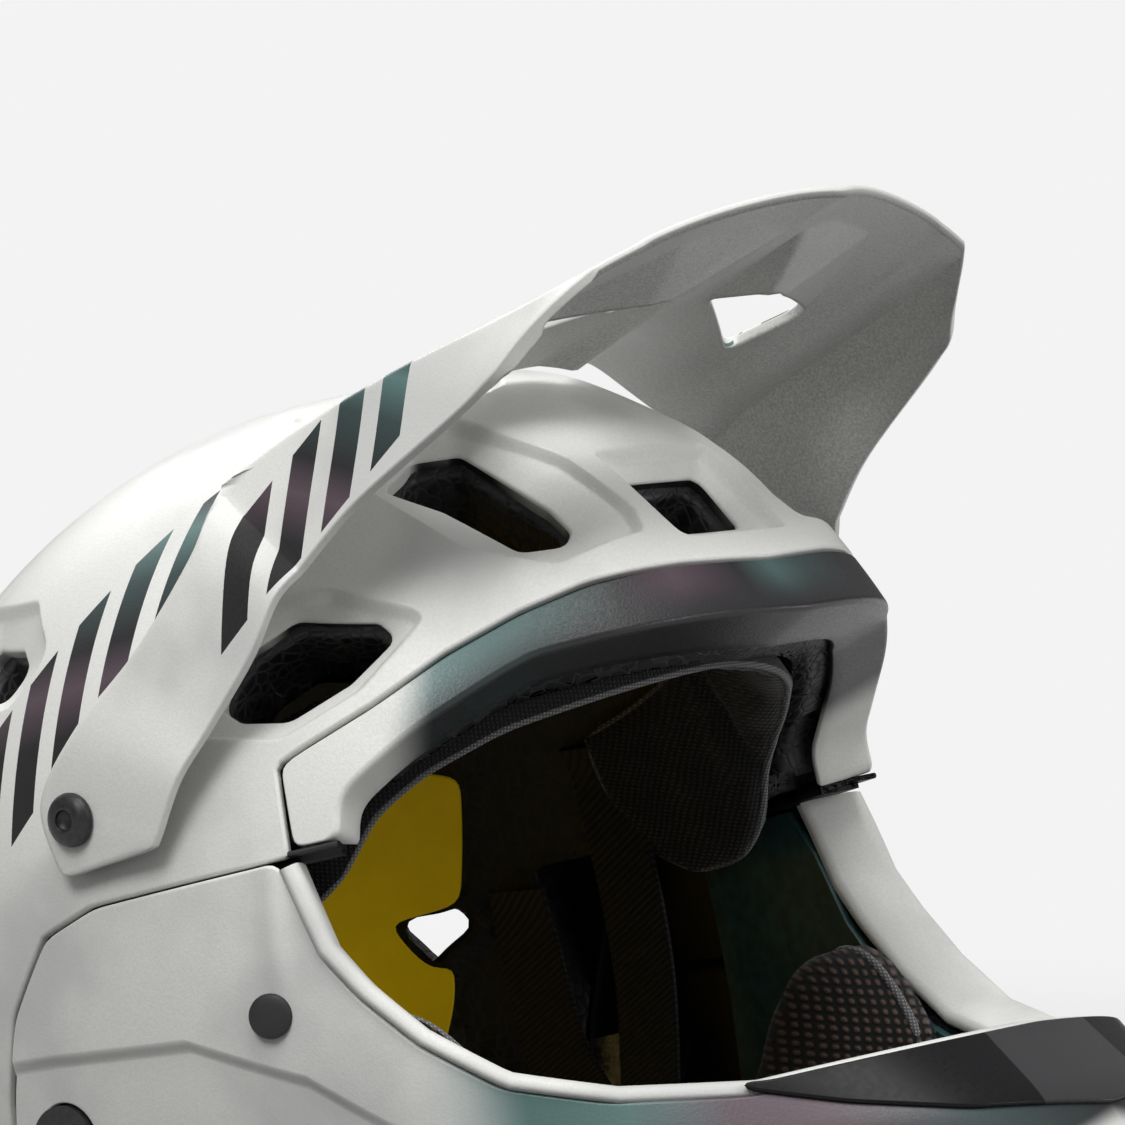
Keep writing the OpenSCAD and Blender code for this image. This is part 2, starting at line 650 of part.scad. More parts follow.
// The round plug's middle on the chin bar, as [azimuth, height]
PLUG = [68.5, -9.6];
plug_head = 1.6;
module at_plug() {
    middle = bar_point(PLUG[0], PLUG[1], 0);
    stand() translate(middle) rotate([0, 0, -PLUG[0] + 6]) rotate([90, 0, 0]) children();
}

module chin_bar_shell() {
    low = function (a) bar_bottom(a);
    high = function (a) bar_top(a);
    color(SHELL_WHITE) on_floor() difference() {
        stand() difference() {
            bar_plate(both_ways(bar_columns), low, high, 0, bar_wall, 9);
            bar_vents(bar_wall + 8);
        }
        for (side = [NEAR, FAR])
            at_button(side) x_bar(button_out - 20, button_out + 9, button_radius + button_gap);
        at_plug() translate([0, 0, -9]) cylinder(r = plug_radius * 0.6 + layer_gap, h = 20, $fn = 32);
        mirror([1, 0, 0]) at_plug() translate([0, 0, -9])
            cylinder(r = plug_radius * 0.6 + layer_gap, h = 20, $fn = 32);
    }
}

// The cap that closes the chin bar's walls along the eyeport
module chin_rim_trim() {
    columns = both_ways(port_columns);
    low = function (a) rim_line(max(0, abs(a) - rim_turn)) - rim_cap;
    high = function (a) rim_line(a);
    color(SHELL_WHITE) stand() bar_plate(columns, low, high, 0, bar_lining - bar_lining_out, 1);
}

module chin_bar_foam() {
    columns = both_ways(concat([for (a = [0:6:48]) a], [52, 56, 60, 63, 66, 72, 78, 84]));
    low = function (a) bar_bottom(a) + 11;
    high = function (a) bar_top(a) - 2.6;
    color(FOAM_BLACK) stand() difference() {
        bar_plate(columns, low, high, bar_foam_out, bar_foam, 5);
        bar_vents(bar_wall + bar_foam + 6);
        bar_vent([for (c = BAR_VENT_NOSE) [c[0] * 1.4, c[1] < -90 ? c[1] - 6 : c[1] + 6]],
            bar_wall + 8);
        at_plug_core();
        mirror([1, 0, 0]) at_plug_core();
    }
}

// Room in the foam behind the plug's stem
module at_plug_core() {
    translate(bar_point(PLUG[0], PLUG[1], 0)) rotate([0, 0, -PLUG[0] + 6]) rotate([90, 0, 0])
        translate([0, 0, -9]) cylinder(r = plug_radius * 0.6 + 1, h = 20, $fn = 12);
}

module chin_bar_lining() {
    columns = both_ways(concat([for (a = [0:6:48]) a], [52, 56, 60, 63, 66, 72, 78, 84]));
    low = function (a) bar_bottom(a) + 11;
    high = function (a) bar_top(a) - 2.6;
    color(TRIM_TEAL) stand() bar_plate(columns, low, high, bar_lining_out, bar_lining, 5);
}

// The gloss piece over the nose, a wedge that narrows along the rim
module chin_front_trim() {
    columns = both_ways([0, 4, 8, 12, 16, 20, 24, 27]);
    high = function (a) rim_line(a) - 0.2;
    low = function (a) lookup(abs(a), [[0, -rim_drop - 22], [12, -rim_drop - 17],
        [27, -rim_drop - 4]]);
    color(RUBBER) stand() bar_plate(columns, low, high, layer_gap + 1.4, 1.4, 3);
}

// A net of bars set into the nose vent
module chin_vent_grille() {
    columns = steps(-15.5, 15.5, 22);
    low = function (a) BAR_VENT_NOSE[1][1] - 5;
    high = function (a) BAR_VENT_NOSE[0][1] + 5;
    rows = 8;
    rest = -bar_wall - 1.2;
    grid = [for (v = steps(0, 1, rows)) [for (a = columns)
        [a * (1 - 0.1 * (1 - v)), blend(low(a), high(a), v)]]];
    kept = function (i, j) i % 2 == 0 || j % 2 == 1 || j == 0 || j == 21 || i == rows - 1;
    color(DARK_METAL) stand()
        plate([for (r = grid) [for (p = r) bar_point(p[0], p[1], rest)]],
            [for (r = grid) [for (p = r) bar_point(p[0], p[1], rest - 1.2)]], false, kept);
}

module plug() {
    color(RUBBER) at_plug() union() {
        translate([0, 0, layer_gap + 0.85]) cylinder(r = plug_radius, h = plug_head, $fn = 48);
        translate([0, 0, -5]) cylinder(r = plug_radius * 0.6, h = 7, $fn = 48);
    }
}
module plug_right() { plug(); }
module plug_left() { mirror([1, 0, 0]) plug(); }

// A soft pad on the inside of the chin bar between two heights
module bar_pad(az0, az1, low, high, out, depth, cols, rows) {
    edge = 0.3;
    grid = [for (v = steps(0, 1, rows)) [for (u = steps(0, 1, cols))
        let (a = blend(az0, az1, u)) [a, blend(low(a), high(a), v), u, v]]];
    plate([for (r = grid) [for (p = r) bar_point(p[0], p[1], out)]],
        [for (r = grid) [for (p = r) bar_point(p[0], p[1],
            out - depth * (edge + (1 - edge) * pad_fill(p[2], p[3])))]]);
}

module cheek_pad() {
    low = function (a) lookup(a, [[50, -84], [70, -80], [104, -66]]);
    high = function (a) lookup(a, [[50, -34], [58, -16], [66, -10], [90, -4], [104, -22]]);
    color(PAD_BLACK) stand() difference() {
        bar_pad(50, 104, low, high, bar_pad_out, cheek_pad_wall, 14, 10);
        catch_pocket();
    }
}
module cheek_pad_right() { cheek_pad(); }
module cheek_pad_left() { mirror([1, 0, 0]) cheek_pad(); }

module chin_pad() {
    low = function (a) -100;
    high = function (a) -62;
    color(PAD_BLACK) stand() bar_pad(-24, 24, low, high, bar_pad_out - 1, pad_wall, 12, 6);
}

// The side button: a face through the shell, a collar behind it and a stem
button_length = 7;
collar_radius = button_radius + 2;
stem_radius = 2.5;
collar_in = bar_wall + 2.2;
tongue_face = button_out - bar_wall - 11.7;
tongue_wall = 2.4;
module release_button(side) {
    color(DARK_METAL) at_button(side) union() {
        x_bar(button_out - button_length, button_out + 0.8, button_radius);
        x_bar(button_out - collar_in - 1.6, button_out - collar_in, collar_radius);
        x_bar(tongue_face - tongue_wall + 1, button_out - button_length, stem_radius);
    }
}
module release_button_right() { release_button(NEAR); }
module release_button_left() { release_button(FAR); }

// The return spring as the sleeve that its coils fill when the button is pressed
module button_spring(side) {
    color(STEEL) at_button(side) difference() {
        x_bar(tongue_face + 0.05, button_out - button_length - button_travel - 0.2, stem_radius + 1.9);
        x_bar(tongue_face - 1, button_out, stem_radius + 0.5);
    }
}
module button_spring_right() { button_spring(NEAR); }
module button_spring_left() { button_spring(FAR); }

// The steel tongue that carries the button's stem and enters the catch in the shell
tongue_height = 12;
tongue_ahead = 12;
tongue_behind = 28;
module latch_hook(side) {
    color(STEEL) at_button(side) difference() {
        translate([tongue_face - tongue_wall, -tongue_ahead, -tongue_height / 2])
            cube([tongue_wall, tongue_ahead + tongue_behind, tongue_height]);
        x_bar(tongue_face - 9, tongue_face + 9, stem_radius + 0.08);
    }
}
module latch_hook_right() { latch_hook(NEAR); }
module latch_hook_left() { latch_hook(FAR); }

// The catch in the shell: a channel round the tongue's end
catch_gap = 0.4;
catch_wall = 2;
catch_length = 11;
catch_start = 21.5;
module catch_block(grow) {
    translate([tongue_face - tongue_wall - catch_gap - catch_wall - grow, catch_start - grow,
            -tongue_height / 2 - catch_gap - catch_wall - grow])
        cube([tongue_wall + 2 * (catch_gap + catch_wall + grow), catch_length + 2 * grow,
            tongue_height + 2 * (catch_gap + catch_wall + grow)]);
}
module latch_catch(side) {
    color(STEEL) at_button(side) difference() {
        catch_block(0);
        translate([tongue_face - tongue_wall - catch_gap, catch_start - 1,
                -tongue_height / 2 - catch_gap])
            cube([tongue_wall + 2 * catch_gap, tongue_behind - catch_start + 2,
                tongue_height + 2 * catch_gap]);
    }
}
module latch_catch_right() { latch_catch(NEAR); }
module latch_catch_left() { latch_catch(FAR); }

// Chin strap route on the right half, as [sideways, ahead, up] from the head centre
strap_out = slip_out - strap_wall / 2;
inner_half = shell_half_width - 53.5;
STRAP_JOIN = [-inner_half, 4, -58];
STRAP_END = [-28, 50, -86];
strap_front_top = 91;
strap_rear_top = 112;
function swap(p) = [p[0], -p[1], p[2]];
function unit(v) = v / norm(v);

// A flat band through points whose broad side faces the helmet's middle
module band(points) {
    m = len(points) - 1;
    sections = [for (i = [0:m])
        let (
            along = unit(points[min(i + 1, m)] - points[max(i - 1, 0)]),
            across = unit(cross([1, 0, 0.35], along)),
            up = cross(along, across),
            w = across * strap_width / 2, t = up * strap_wall / 2
        )
        [points[i] - w - t, points[i] + w - t, points[i] + w + t, points[i] - w + t]];
    sweep(sections);
}

module strap() {
    front = [shell_point(strap_front_top, 31, strap_out - 0.7),
        shell_point(strap_front_top, 23, strap_out - 0.7),
        swap([-inner_half - 16, 2, -10]), swap(STRAP_JOIN)];
    rear = [shell_point(strap_rear_top, 12, strap_out - 3.6),
        shell_point(strap_rear_top, 2, strap_out - 3.6),
        swap([-inner_half - 12, -24, -28]), swap(STRAP_JOIN + [0, -3, 0])];
    chin = [swap(STRAP_JOIN + [0, 0, 3]), swap(STRAP_JOIN + [4, 4, -8]), swap([-inner_half * 0.754, 26, -79]),
        swap(STRAP_END + [-3, -1, 0.6]), swap(STRAP_END)];
    color(PAD_BLACK) stand() union() {
        band(smooth(front, 3));
        band(smooth(rear, 3));
        band(smooth(chin, 3));
    }
}
module strap_right() { strap(); }
module strap_left() { mirror([1, 0, 0]) strap(); }

// The frame that gathers the front and rear straps below the ear
module strap_divider(side) {
    slot = [strap_wall + 4.8, strap_width + 34, 30];
    frame = [slot[0] + 2.4, slot[1] + 6, 11];
    tilt = atan2(16, 48);
    color(RUBBER) stand() scale_side(-side) translate(swap(STRAP_JOIN + [-3.2, -2.5, 10]))
        rotate([0, -tilt, 0]) difference() {
            cube(frame, center = true);
            cube(slot, center = true);
        }
}
module strap_divider_right() { strap_divider(NEAR); }
module strap_divider_left() { strap_divider(FAR); }

// The chin strap's buckle: a socket on the right strap and a tongue on the left one
buckle_size = [27, 22, 8];
prong = [11, 14, 3];
prong_gap = 0.3;
module at_buckle() stand() translate([0, -STRAP_END[1], STRAP_END[2]]) children();
module buckle_socket() {
    color(RUBBER) at_buckle() difference() {
        translate([-buckle_size[0], -buckle_size[1] / 2, -buckle_size[2] / 2]) cube(buckle_size);
        translate([-prong[0] - prong_gap, -prong[1] / 2 - prong_gap, -prong[2] / 2 - prong_gap])
            cube(prong + prong_gap * [2, 2, 2]);
    }
}
module buckle_tongue() {
    color(RUBBER) at_buckle() union() {
        translate([prong_gap, -buckle_size[1] / 2, -buckle_size[2] / 2])
            cube([buckle_size[0] - prong_gap, buckle_size[1], buckle_size[2]]);
        translate([-prong[0], -prong[1] / 2, -prong[2] / 2]) cube(prong + [prong_gap * 2, 0, 0]);
    }
}

module chin_strap_pad() {
    r = 2.2;
    reach = [26, 11];
    color(PAD_BLACK) at_buckle() translate([0, 0, buckle_size[2] / 2 + layer_gap + r]) hull()
        for (x = [-1, 1], y = [-1, 1]) translate([x * reach[0], y * reach[1], 0]) sphere(r = r, $fn = 14);
}

// Fit system at the nape: a cradle that slides on a guide, and the dial that draws it in
cradle_out = -36;
cradle_wall = 3;
guide_y = shell_back + slip_out - slip_wall - layer_gap - 0.9;
cradle_y = shell_back + cradle_out;
slot_half = 3.2;
cradle_travel_up = 8;
cradle_travel_down = 3;
guide_z = 0;
dial_z = -34;
dial_length = 6;
dial_gap = 0.6;
dial_axle = 4;
axle_fit = 0.05;
dial_notches = 20;

module y_bar(y0, y1, z, r) translate([0, y1, z]) rotate([90, 0, 0]) cylinder(r = r, h = y1 - y0, $fn = 48);

module fit_guide() {
    boss = [16, 4, 10];
    color(RUBBER) stand() union() {
        translate([-boss[0] / 2, guide_y - boss[1], guide_z - boss[2] / 2]) cube(boss);
        y_bar(cradle_y - cradle_wall - 2.6, guide_y - boss[1] + 1, guide_z, slot_half - 0.3);
        y_bar(cradle_y - cradle_wall - 2.6, cradle_y - cradle_wall - 0.5, guide_z, slot_half + 2.4);
    }
}

module rear_cradle() {
    around = [for (a = [125:5:235]) a > 180 ? a - 360 : a];
    grid = [for (v = steps(0, 1, 3)) [for (a = around)
        let (spread = pow((180 - abs(a)) / 55, 2)) [a, blend(-24 + 8 * spread, -11 + 3 * spread, v)]]];
    post_top = guide_z + cradle_travel_down + slot_half + 5;
    post_low = -36;
    color(RUBBER) stand() difference() {
        union() {
            shell_plate(grid, cradle_out, cradle_wall);
            translate([-9, cradle_y - cradle_wall, post_low]) cube([18, cradle_wall, post_top - post_low]);
        }
        translate([-slot_half, cradle_y - 9, guide_z - cradle_travel_up])
            cube([2 * slot_half, 18, cradle_travel_up + cradle_travel_down]);
        for (z = [guide_z - cradle_travel_up, guide_z + cradle_travel_down])
            y_bar(cradle_y - 9, cradle_y + 9, z, slot_half);
        y_bar(cradle_y - 12, cradle_y + 9, dial_z, dial_axle + axle_fit);
        y_bar(cradle_y - 14, cradle_y - cradle_wall, dial_z, dial_axle + 2);
    }
}

module fit_dial() {
    face = cradle_y + dial_gap;
    color(DARK_METAL) stand() difference() {
        union() {
            y_bar(face, face + dial_length, dial_z, dial_radius - 2);
            y_bar(cradle_y - cradle_wall - 0.4, face + 1, dial_z, dial_axle);
            y_bar(cradle_y - cradle_wall - 2, cradle_y - cradle_wall - 0.4, dial_z, dial_axle + 1.5);
        }
        for (i = [1:dial_notches]) let (turn = 360 * i / dial_notches)
            translate([(dial_radius - 1.4) * sin(turn), 0, (dial_radius - 1.4) * cos(turn)])
                y_bar(face - 1, face + dial_length + 1, dial_z, 1.2);
    }
}

outer_shell();
brow_trim();
neck_trim();
foam_liner();
slip_liner();
crown_pad();
brow_pad();
gasket_right();
gasket_left();
peak();
peak_screw_right();
peak_screw_left();
peak_insert_right();
peak_insert_left();
peak_washer_right();
peak_washer_left();
chin_bar_shell();
chin_rim_trim();
chin_bar_foam();
chin_bar_lining();
chin_front_trim();
chin_vent_grille();
chin_pad();
plug_right();
plug_left();
cheek_pad_right();
cheek_pad_left();
release_button_right();
release_button_left();
button_spring_right();
button_spring_left();
latch_hook_right();
latch_hook_left();
latch_catch_right();
latch_catch_left();
strap_right();
strap_left();
strap_divider_right();
strap_divider_left();
buckle_socket();
buckle_tongue();
chin_strap_pad();
rear_cradle();
fit_dial();
fit_guide();
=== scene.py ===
import bpy, bmesh, math, json
import numpy as np
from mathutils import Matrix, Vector
from mathutils.geometry import delaunay_2d_cdt
from mathutils.kdtree import KDTree

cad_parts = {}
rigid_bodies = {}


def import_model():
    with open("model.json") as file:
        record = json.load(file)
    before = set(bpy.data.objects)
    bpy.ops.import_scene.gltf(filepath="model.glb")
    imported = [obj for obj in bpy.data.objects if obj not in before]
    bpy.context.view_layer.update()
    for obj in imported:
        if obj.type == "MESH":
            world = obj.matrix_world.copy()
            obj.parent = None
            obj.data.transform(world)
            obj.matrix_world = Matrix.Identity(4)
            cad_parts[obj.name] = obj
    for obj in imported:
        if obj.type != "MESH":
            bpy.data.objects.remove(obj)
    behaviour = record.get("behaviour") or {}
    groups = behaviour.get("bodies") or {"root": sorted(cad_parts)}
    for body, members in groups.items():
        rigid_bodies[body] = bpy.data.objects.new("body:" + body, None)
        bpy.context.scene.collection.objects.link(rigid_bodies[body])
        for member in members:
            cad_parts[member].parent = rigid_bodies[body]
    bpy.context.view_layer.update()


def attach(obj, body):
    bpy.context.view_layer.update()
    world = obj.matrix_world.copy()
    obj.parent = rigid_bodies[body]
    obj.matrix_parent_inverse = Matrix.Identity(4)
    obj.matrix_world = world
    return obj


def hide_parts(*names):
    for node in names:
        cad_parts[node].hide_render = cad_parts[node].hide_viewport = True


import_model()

# Sizes in millimetres from the middle of the head. The helmet leans back by 15 degrees.
D = math.pi / 180
LEAN_COS, LEAN_SIN = math.cos(15 * D), math.sin(15 * D)
RISE, BACK = 80.0, 29.2
HALF, FRONT, REAR, TOP, LOW = 114.5, 139.5, 143.0, 133.0, 150.0
SEAM, GAP = 24.0, 0.6
WALL, BAR_WALL, PEAK_WALL, TRIM_WALL, THIN_WALL = 2.6, 3.0, 3.0, 2.4, 1.2
FOAM_TOP, FOAM_BASE, SLIP_TOP, SLIP_BASE, PAD_TOP = 3.25, 25.4, 27.4, 28.6, 27.3
PIVOT = (-4.0, 43.5)
DOME_RADIUS, BAR_RADIUS, BAR_POWER = 140.0, 130.0, 2.1
MIRROR = np.array([-1, 1, 1])


# Plain geometry
def turn(v):
    """Head-centred directions in the row frame."""
    ahead, up = v[..., 1], v[..., 2]
    return np.stack([v[..., 0], LEAN_COS * ahead + LEAN_SIN * up, LEAN_COS * up - LEAN_SIN * ahead], -1)


def world(p):
    """Head-centred millimetres in the row frame, in metres."""
    return (turn(np.asarray(p, float)) + (0, BACK, RISE)) / 1000


def unit(v):
    return v / np.maximum(np.linalg.norm(v, axis=-1, keepdims=True), 1e-9)


def pair(u, v):
    """Points (u, v) from two rows of values. Either may be a single number."""
    return np.stack(np.broadcast_arrays(u, v), -1)


def lookup(x, table):
    """A value from a table of pairs, with straight lines between them."""
    return np.interp(x, *np.transpose(table))


def smoothstep(t):
    t = np.clip(t, 0, 1)
    return t * t * (3 - 2 * t)


def bell(t):
    return np.exp(-t * t)


def azimuth(p):
    return np.arctan2(-p[..., 0], -p[..., 1]) / D


def elevation(p):
    return np.arctan2(p[..., 2], np.hypot(p[..., 0], p[..., 1])) / D


def area_of(loop):
    """The area of a closed plane loop, negative when it runs clockwise."""
    x, y = loop[:, 0], loop[:, 1]
    return 0.5 * np.sum(x * np.roll(y, -1) - np.roll(x, -1) * y)


def poly_distance(x, y, poly):
    """Signed distance to a closed polygon in a plane, negative inside."""
    best = np.full(x.shape, 1e9)
    inside = np.zeros(x.shape, bool)
    for a, b in zip(poly, np.roll(poly, -1, 0)):
        ex, ey = b - a
        wx, wy = x - a[0], y - a[1]
        t = np.clip((wx * ex + wy * ey) / (ex * ex + ey * ey), 0, 1)
        best = np.minimum(best, np.hypot(wx - t * ex, wy - t * ey))
        cross = (a[1] > y) != (b[1] > y)
        with np.errstate(divide="ignore", invalid="ignore"):
            inside ^= cross & (x < (b[0] - a[0]) * (y - a[1]) / (b[1] - a[1]) + a[0])
    return np.where(inside, -best, best)


def within(p, loops):
    """Which plane points lie inside the first loop and outside the others."""
    ok = poly_distance(p[:, 0], p[:, 1], loops[0]) < 0
    for q in loops[1:]:
        box = ((p > q.min(0)) & (p < q.max(0))).all(1)
        ok[box] &= poly_distance(p[box, 0], p[box, 1], q) > 0
    return ok


def nearest(a, b):
    """Distance from each point of a to the nearest of b, in space or in a plane."""
    def solid(p):
        return np.pad(p, ((0, 0), (0, 3 - p.shape[1])))

    tree = KDTree(len(b))
    for i, p in enumerate(solid(b)):
        tree.insert(p, i)
    tree.balance()
    return np.array([tree.find(p)[2] for p in solid(a)])


def resample(loop, step, closed=True):
    """A line with even steps."""
    pts = np.vstack([loop, loop[:1]]) if closed else np.asarray(loop, float)
    seg = np.linalg.norm(np.diff(pts, axis=0), axis=1)
    pts = pts[np.concatenate([[True], seg > 1e-6])]
    s = np.concatenate([[0], np.cumsum(np.linalg.norm(np.diff(pts, axis=0), axis=1))])
    q = np.linspace(0, s[-1], max(8, int(s[-1] / step)), endpoint=not closed)
    return np.stack([np.interp(q, s, column) for column in pts.T], -1)


def smoothed(loop, times):
    """A closed loop evened out: each point is drawn towards its neighbours."""
    for _ in range(times):
        loop = 0.25 * np.roll(loop, 1, 0) + 0.5 * loop + 0.25 * np.roll(loop, -1, 0)
    return loop


def rounded(points, radius, step):
    """A closed polygon with its corners rounded, as a dense loop."""
    pts = np.asarray(points, float)
    radius = np.broadcast_to(radius, len(pts)).astype(float)
    out = []
    for i, p in enumerate(pts):
        last, following = pts[i - 1] - p, pts[(i + 1) % len(pts)] - p
        u, v = unit(last), unit(following)
        half = math.acos(np.clip(u @ v, -1, 1)) / 2
        if half > 1.54:     # all but straight
            out.append(p)
            continue
        longest = 0.45 * min(np.linalg.norm(last), np.linalg.norm(following))
        reach = min(radius[i] / max(math.tan(half), 1e-3), longest)
        r = reach * math.tan(half)
        middle = p + unit(u + v) * math.hypot(r, reach)
        start, end = [math.atan2(*(p + w * reach - middle)[::-1]) for w in (u, v)]
        swing = (end - start + math.pi) % (2 * math.pi) - math.pi
        t = start + swing * np.linspace(0, 1, max(2, int(abs(swing) * r / step) + 3))
        out += list(middle + r * pair(np.cos(t), np.sin(t)))
    return resample(np.array(out), step)


def spline(points, steps):
    """A smooth line through points."""
    p = np.asarray(points, float)
    p = np.vstack([p[:1], p, p[-1:]])
    t = np.linspace(0, 1, steps, endpoint=False)[:, None]
    out = []
    for a, b, c, d in zip(p, p[1:], p[2:], p[3:]):
        bend, twist = 2 * a - 5 * b + 4 * c - d, 3 * b - a - 3 * c + d
        out.append(0.5 * (2 * b + (c - a) * t + bend * t ** 2 + twist * t ** 3))
    return np.vstack(out + [p[-1:]])


# Vents
def vent(middle, scale, steps, depth, hole, corners, ridge, ridge_corners):
    """A vent of the right half, in the (u, v) of its form. scale is millimetres per unit of u and v. The scoop
    goes down by depth from the ridge to the hole, and both outlines have corner radii."""
    middle, scale = np.array(middle, float), np.array(scale)
    hole = rounded((np.array(hole) - middle) * scale, corners, steps[0])
    ridge = rounded((np.array(ridge) - middle) * scale, ridge_corners, steps[1])
    return {"middle": middle, "scale": scale, "depth": depth, "hole": hole, "ridge": ridge}


def dome_vent(az, el, *rest):
    across = D * DOME_RADIUS * math.cos(el * D)
    return vent((az, el), (across, D * DOME_RADIUS), (1.1, 1.6), *rest)


def bar_vent(az, z, radius, *rest):
    return vent((az, z), (D * radius, 1.0), (1.2, 2.0), *rest)


def spread(xy, vent):
    """From a vent's plane millimetres back to (u, v)."""
    return xy / vent["scale"] + vent["middle"]


def scoops(vents, u, v):
    """The depth of all scoops at points of a form: each is a ramp from its ridge down to its hole."""
    total = np.zeros(np.broadcast(u, v).shape)
    for vent in vents.values():
        q = (pair(np.abs(u) if vent["middle"][0] else u, v) - vent["middle"]) * vent["scale"]
        near = ((q > vent["ridge"].min(0)) & (q < vent["ridge"].max(0))).all(-1)
        if near.any():
            x, y = q[near].T
            in_ridge = np.maximum(-poly_distance(x, y, vent["ridge"]), 0)
            off_hole = np.maximum(poly_distance(x, y, vent["hole"]), 0)
            t = in_ridge / np.maximum(in_ridge + off_hole, 1e-6)
            total[near] += vent["depth"] * (0.42 * smoothstep(in_ridge / 2.4) + 0.58 * t)
    return total


# A middle, a depth, the hole's corners with their radii and the ridge's corners with theirs
VENTS = {
    "temple": dome_vent(
        57, 32, 4.5,
        [(70.2, 31), (68.9, 33.4), (65.4, 36.4), (58.6, 38.2), (48.2, 34.6), (46.6, 32.4), (53, 29), (61.1, 27),
         (67.4, 28.6)], [5, 5, 6, 7, 4, 4, 6, 8, 5],
        [(74.5, 27.5), (73.5, 34.5), (64, 41), (53, 39), (43.6, 33.6), (43, 32.2), (52, 26.6), (62, 24)],
        [6, 6, 8, 10, 2.5, 2.5, 10, 10]),
    "upper": dome_vent(
        31, 45, 6.0,
        [(42, 52.8), (35, 56.2), (27.4, 54.8), (22.3, 42.5), (21.8, 38.6), (23.4, 37.2), (28.7, 38.3),
         (35.1, 46.6)], [3, 4, 4, 7, 3, 3, 4, 9],
        [(48, 54), (40, 59.5), (26, 57.6), (16.5, 47), (13.5, 38.5), (14.2, 35.2), (27, 33.6), (36, 38.5)],
        [5, 8, 8, 12, 4, 4, 6, 14]),
    "front": dome_vent(
        0, 40.5, 6.0, [(9.2, 44.6), (-9.2, 44.6), (-6.6, 37), (6.6, 37)], [2.5, 2.5, 3.5, 3.5],
        [(12.5, 47), (-12.5, 47), (-9.8, 34), (9.8, 34)], [2.5, 2.5, 3.5, 3.5]),
    "side": dome_vent(
        116, 43, 4.5, [(127, 47), (114, 46), (109, 43), (112, 40), (125, 39)], [4, 5, 4, 5, 4],
        [(132, 51), (110, 50.5), (100, 43), (106, 37), (132, 36)], 8),
    "top": dome_vent(24, 66, 4.0, [(24, 73), (13, 62.5), (22, 62), (46, 71.5)], 3,
                     [(24, 76.5), (7, 61), (24, 59.5), (62, 71)], 5),
    "crown": dome_vent(158, 61, 4.0, [(160, 72), (150, 56), (161, 51), (168, 66)], 3,
                       [(160, 76), (142, 55), (161, 46), (173, 64)], 6),
    "rear": dome_vent(150, 30, 4.0, [(160, 36), (142, 34), (140, 27), (158, 24)], 4,
                      [(165, 40), (138, 38), (134, 25), (163, 20.5)], 6),
    "ear": dome_vent(125, 7.5, 3.0, [(131.5, 9.5), (121.5, 10), (119.5, 7.5), (127, 3)], [3, 4, 3, 3],
                     [(135, 12), (120, 13), (115.5, 7.5), (127, -0.5)], 5),
}
BAR_VENTS = {
    "nose": bar_vent(0, -89, 182, 5.0, [(-13, -79), (-11.5, -99), (11.5, -99), (13, -79)], 5,
                     [(-17, -75.5), (-14, -104), (14, -104), (17, -75.5)], 6),
    "side": bar_vent(29, -82, 178, 5.0, [(20, -75), (21, -95), (38, -84), (36, -75)], 5,
                     [(17.6, -71), (18, -101), (42, -87), (39, -71)], 7),
    "jaw": bar_vent(51, -74, 150, 4.0, [(44, -70), (44, -84), (58, -74), (57, -65)], 4,
                    [(41, -66), (40, -89), (62, -76), (60, -61)], 7),
    "cheek": bar_vent(72, -66, 125, 3.5, [(66, -61), (66, -74), (80, -66), (79, -57)], 4,
                      [(62, -58), (61, -79), (85, -67), (83, -53)], 7),
}


# The dome's form, at an azimuth from straight ahead and an elevation
def dome_relief(az, el):
    """How far the surface lies inside the plain form, in mm: a hollow, a crest, two ribs and the scoops."""
    hollow = 4.0 * bell(az / 17) * bell((el - 38) / 9)
    crest = 3.8 * bell(az / 26) * bell((el - 63) / 7.5)
    ribs = 1.8 * bell((np.abs(az) - 20) / 6) * bell((el - 38) / 6)
    return hollow - crest - ribs + scoops(VENTS, az, el)


def dome_power(az):
    return 1.95 + 0.35 * (1 + np.cos(az * D)) / 2


def dome_point(az, el, out=0.0, shaped=True):
    az, el = np.asarray(az, float), np.asarray(el, float)
    d = np.stack([-np.sin(az * D) * np.cos(el * D), -np.cos(az * D) * np.cos(el * D), np.sin(el * D)], -1)
    n = dome_power(az)
    depth = np.where(d[..., 1] < 0, FRONT, REAR) + out
    rise = np.where(d[..., 2] > 0, TOP, LOW) + out
    plan = np.hypot(d[..., 0] / (HALF + out), d[..., 1] / depth)
    r = (plan ** n + np.abs(d[..., 2] / rise) ** n) ** (-1 / n)
    if shaped:
        r = r - dome_relief(az, el)
    return d * r[..., None]


def inside_dome(az, el, out):
    return dome_point(az, el, out, False)


def share(az, z):
    """The dome's width at a height, as a share of its full width."""
    n = dome_power(az)
    return np.maximum(0.001, 1 - (np.abs(z) / np.where(z > 0, TOP, LOW)) ** n) ** (1 / n)


def dome_el(az, z):
    """The elevation at which the dome reaches a height."""
    depth = np.where(np.cos(az * D) > 0, FRONT, REAR)
    r = share(az, z) / np.hypot(np.sin(az * D) / HALF, np.cos(az * D) / depth)
    return np.arctan2(z, r) / D


# The edges of the dome and of the chin bar, as (azimuth, elevation) or (azimuth, height)
def floor_at(front):
    """The floor's height at a distance ahead."""
    return -(RISE + front * LEAN_SIN) / LEAN_COS


def neck_edge(az, lift):
    return float(floor_at(-dome_point(az, -20.0, 0, False)[1]) + lift)


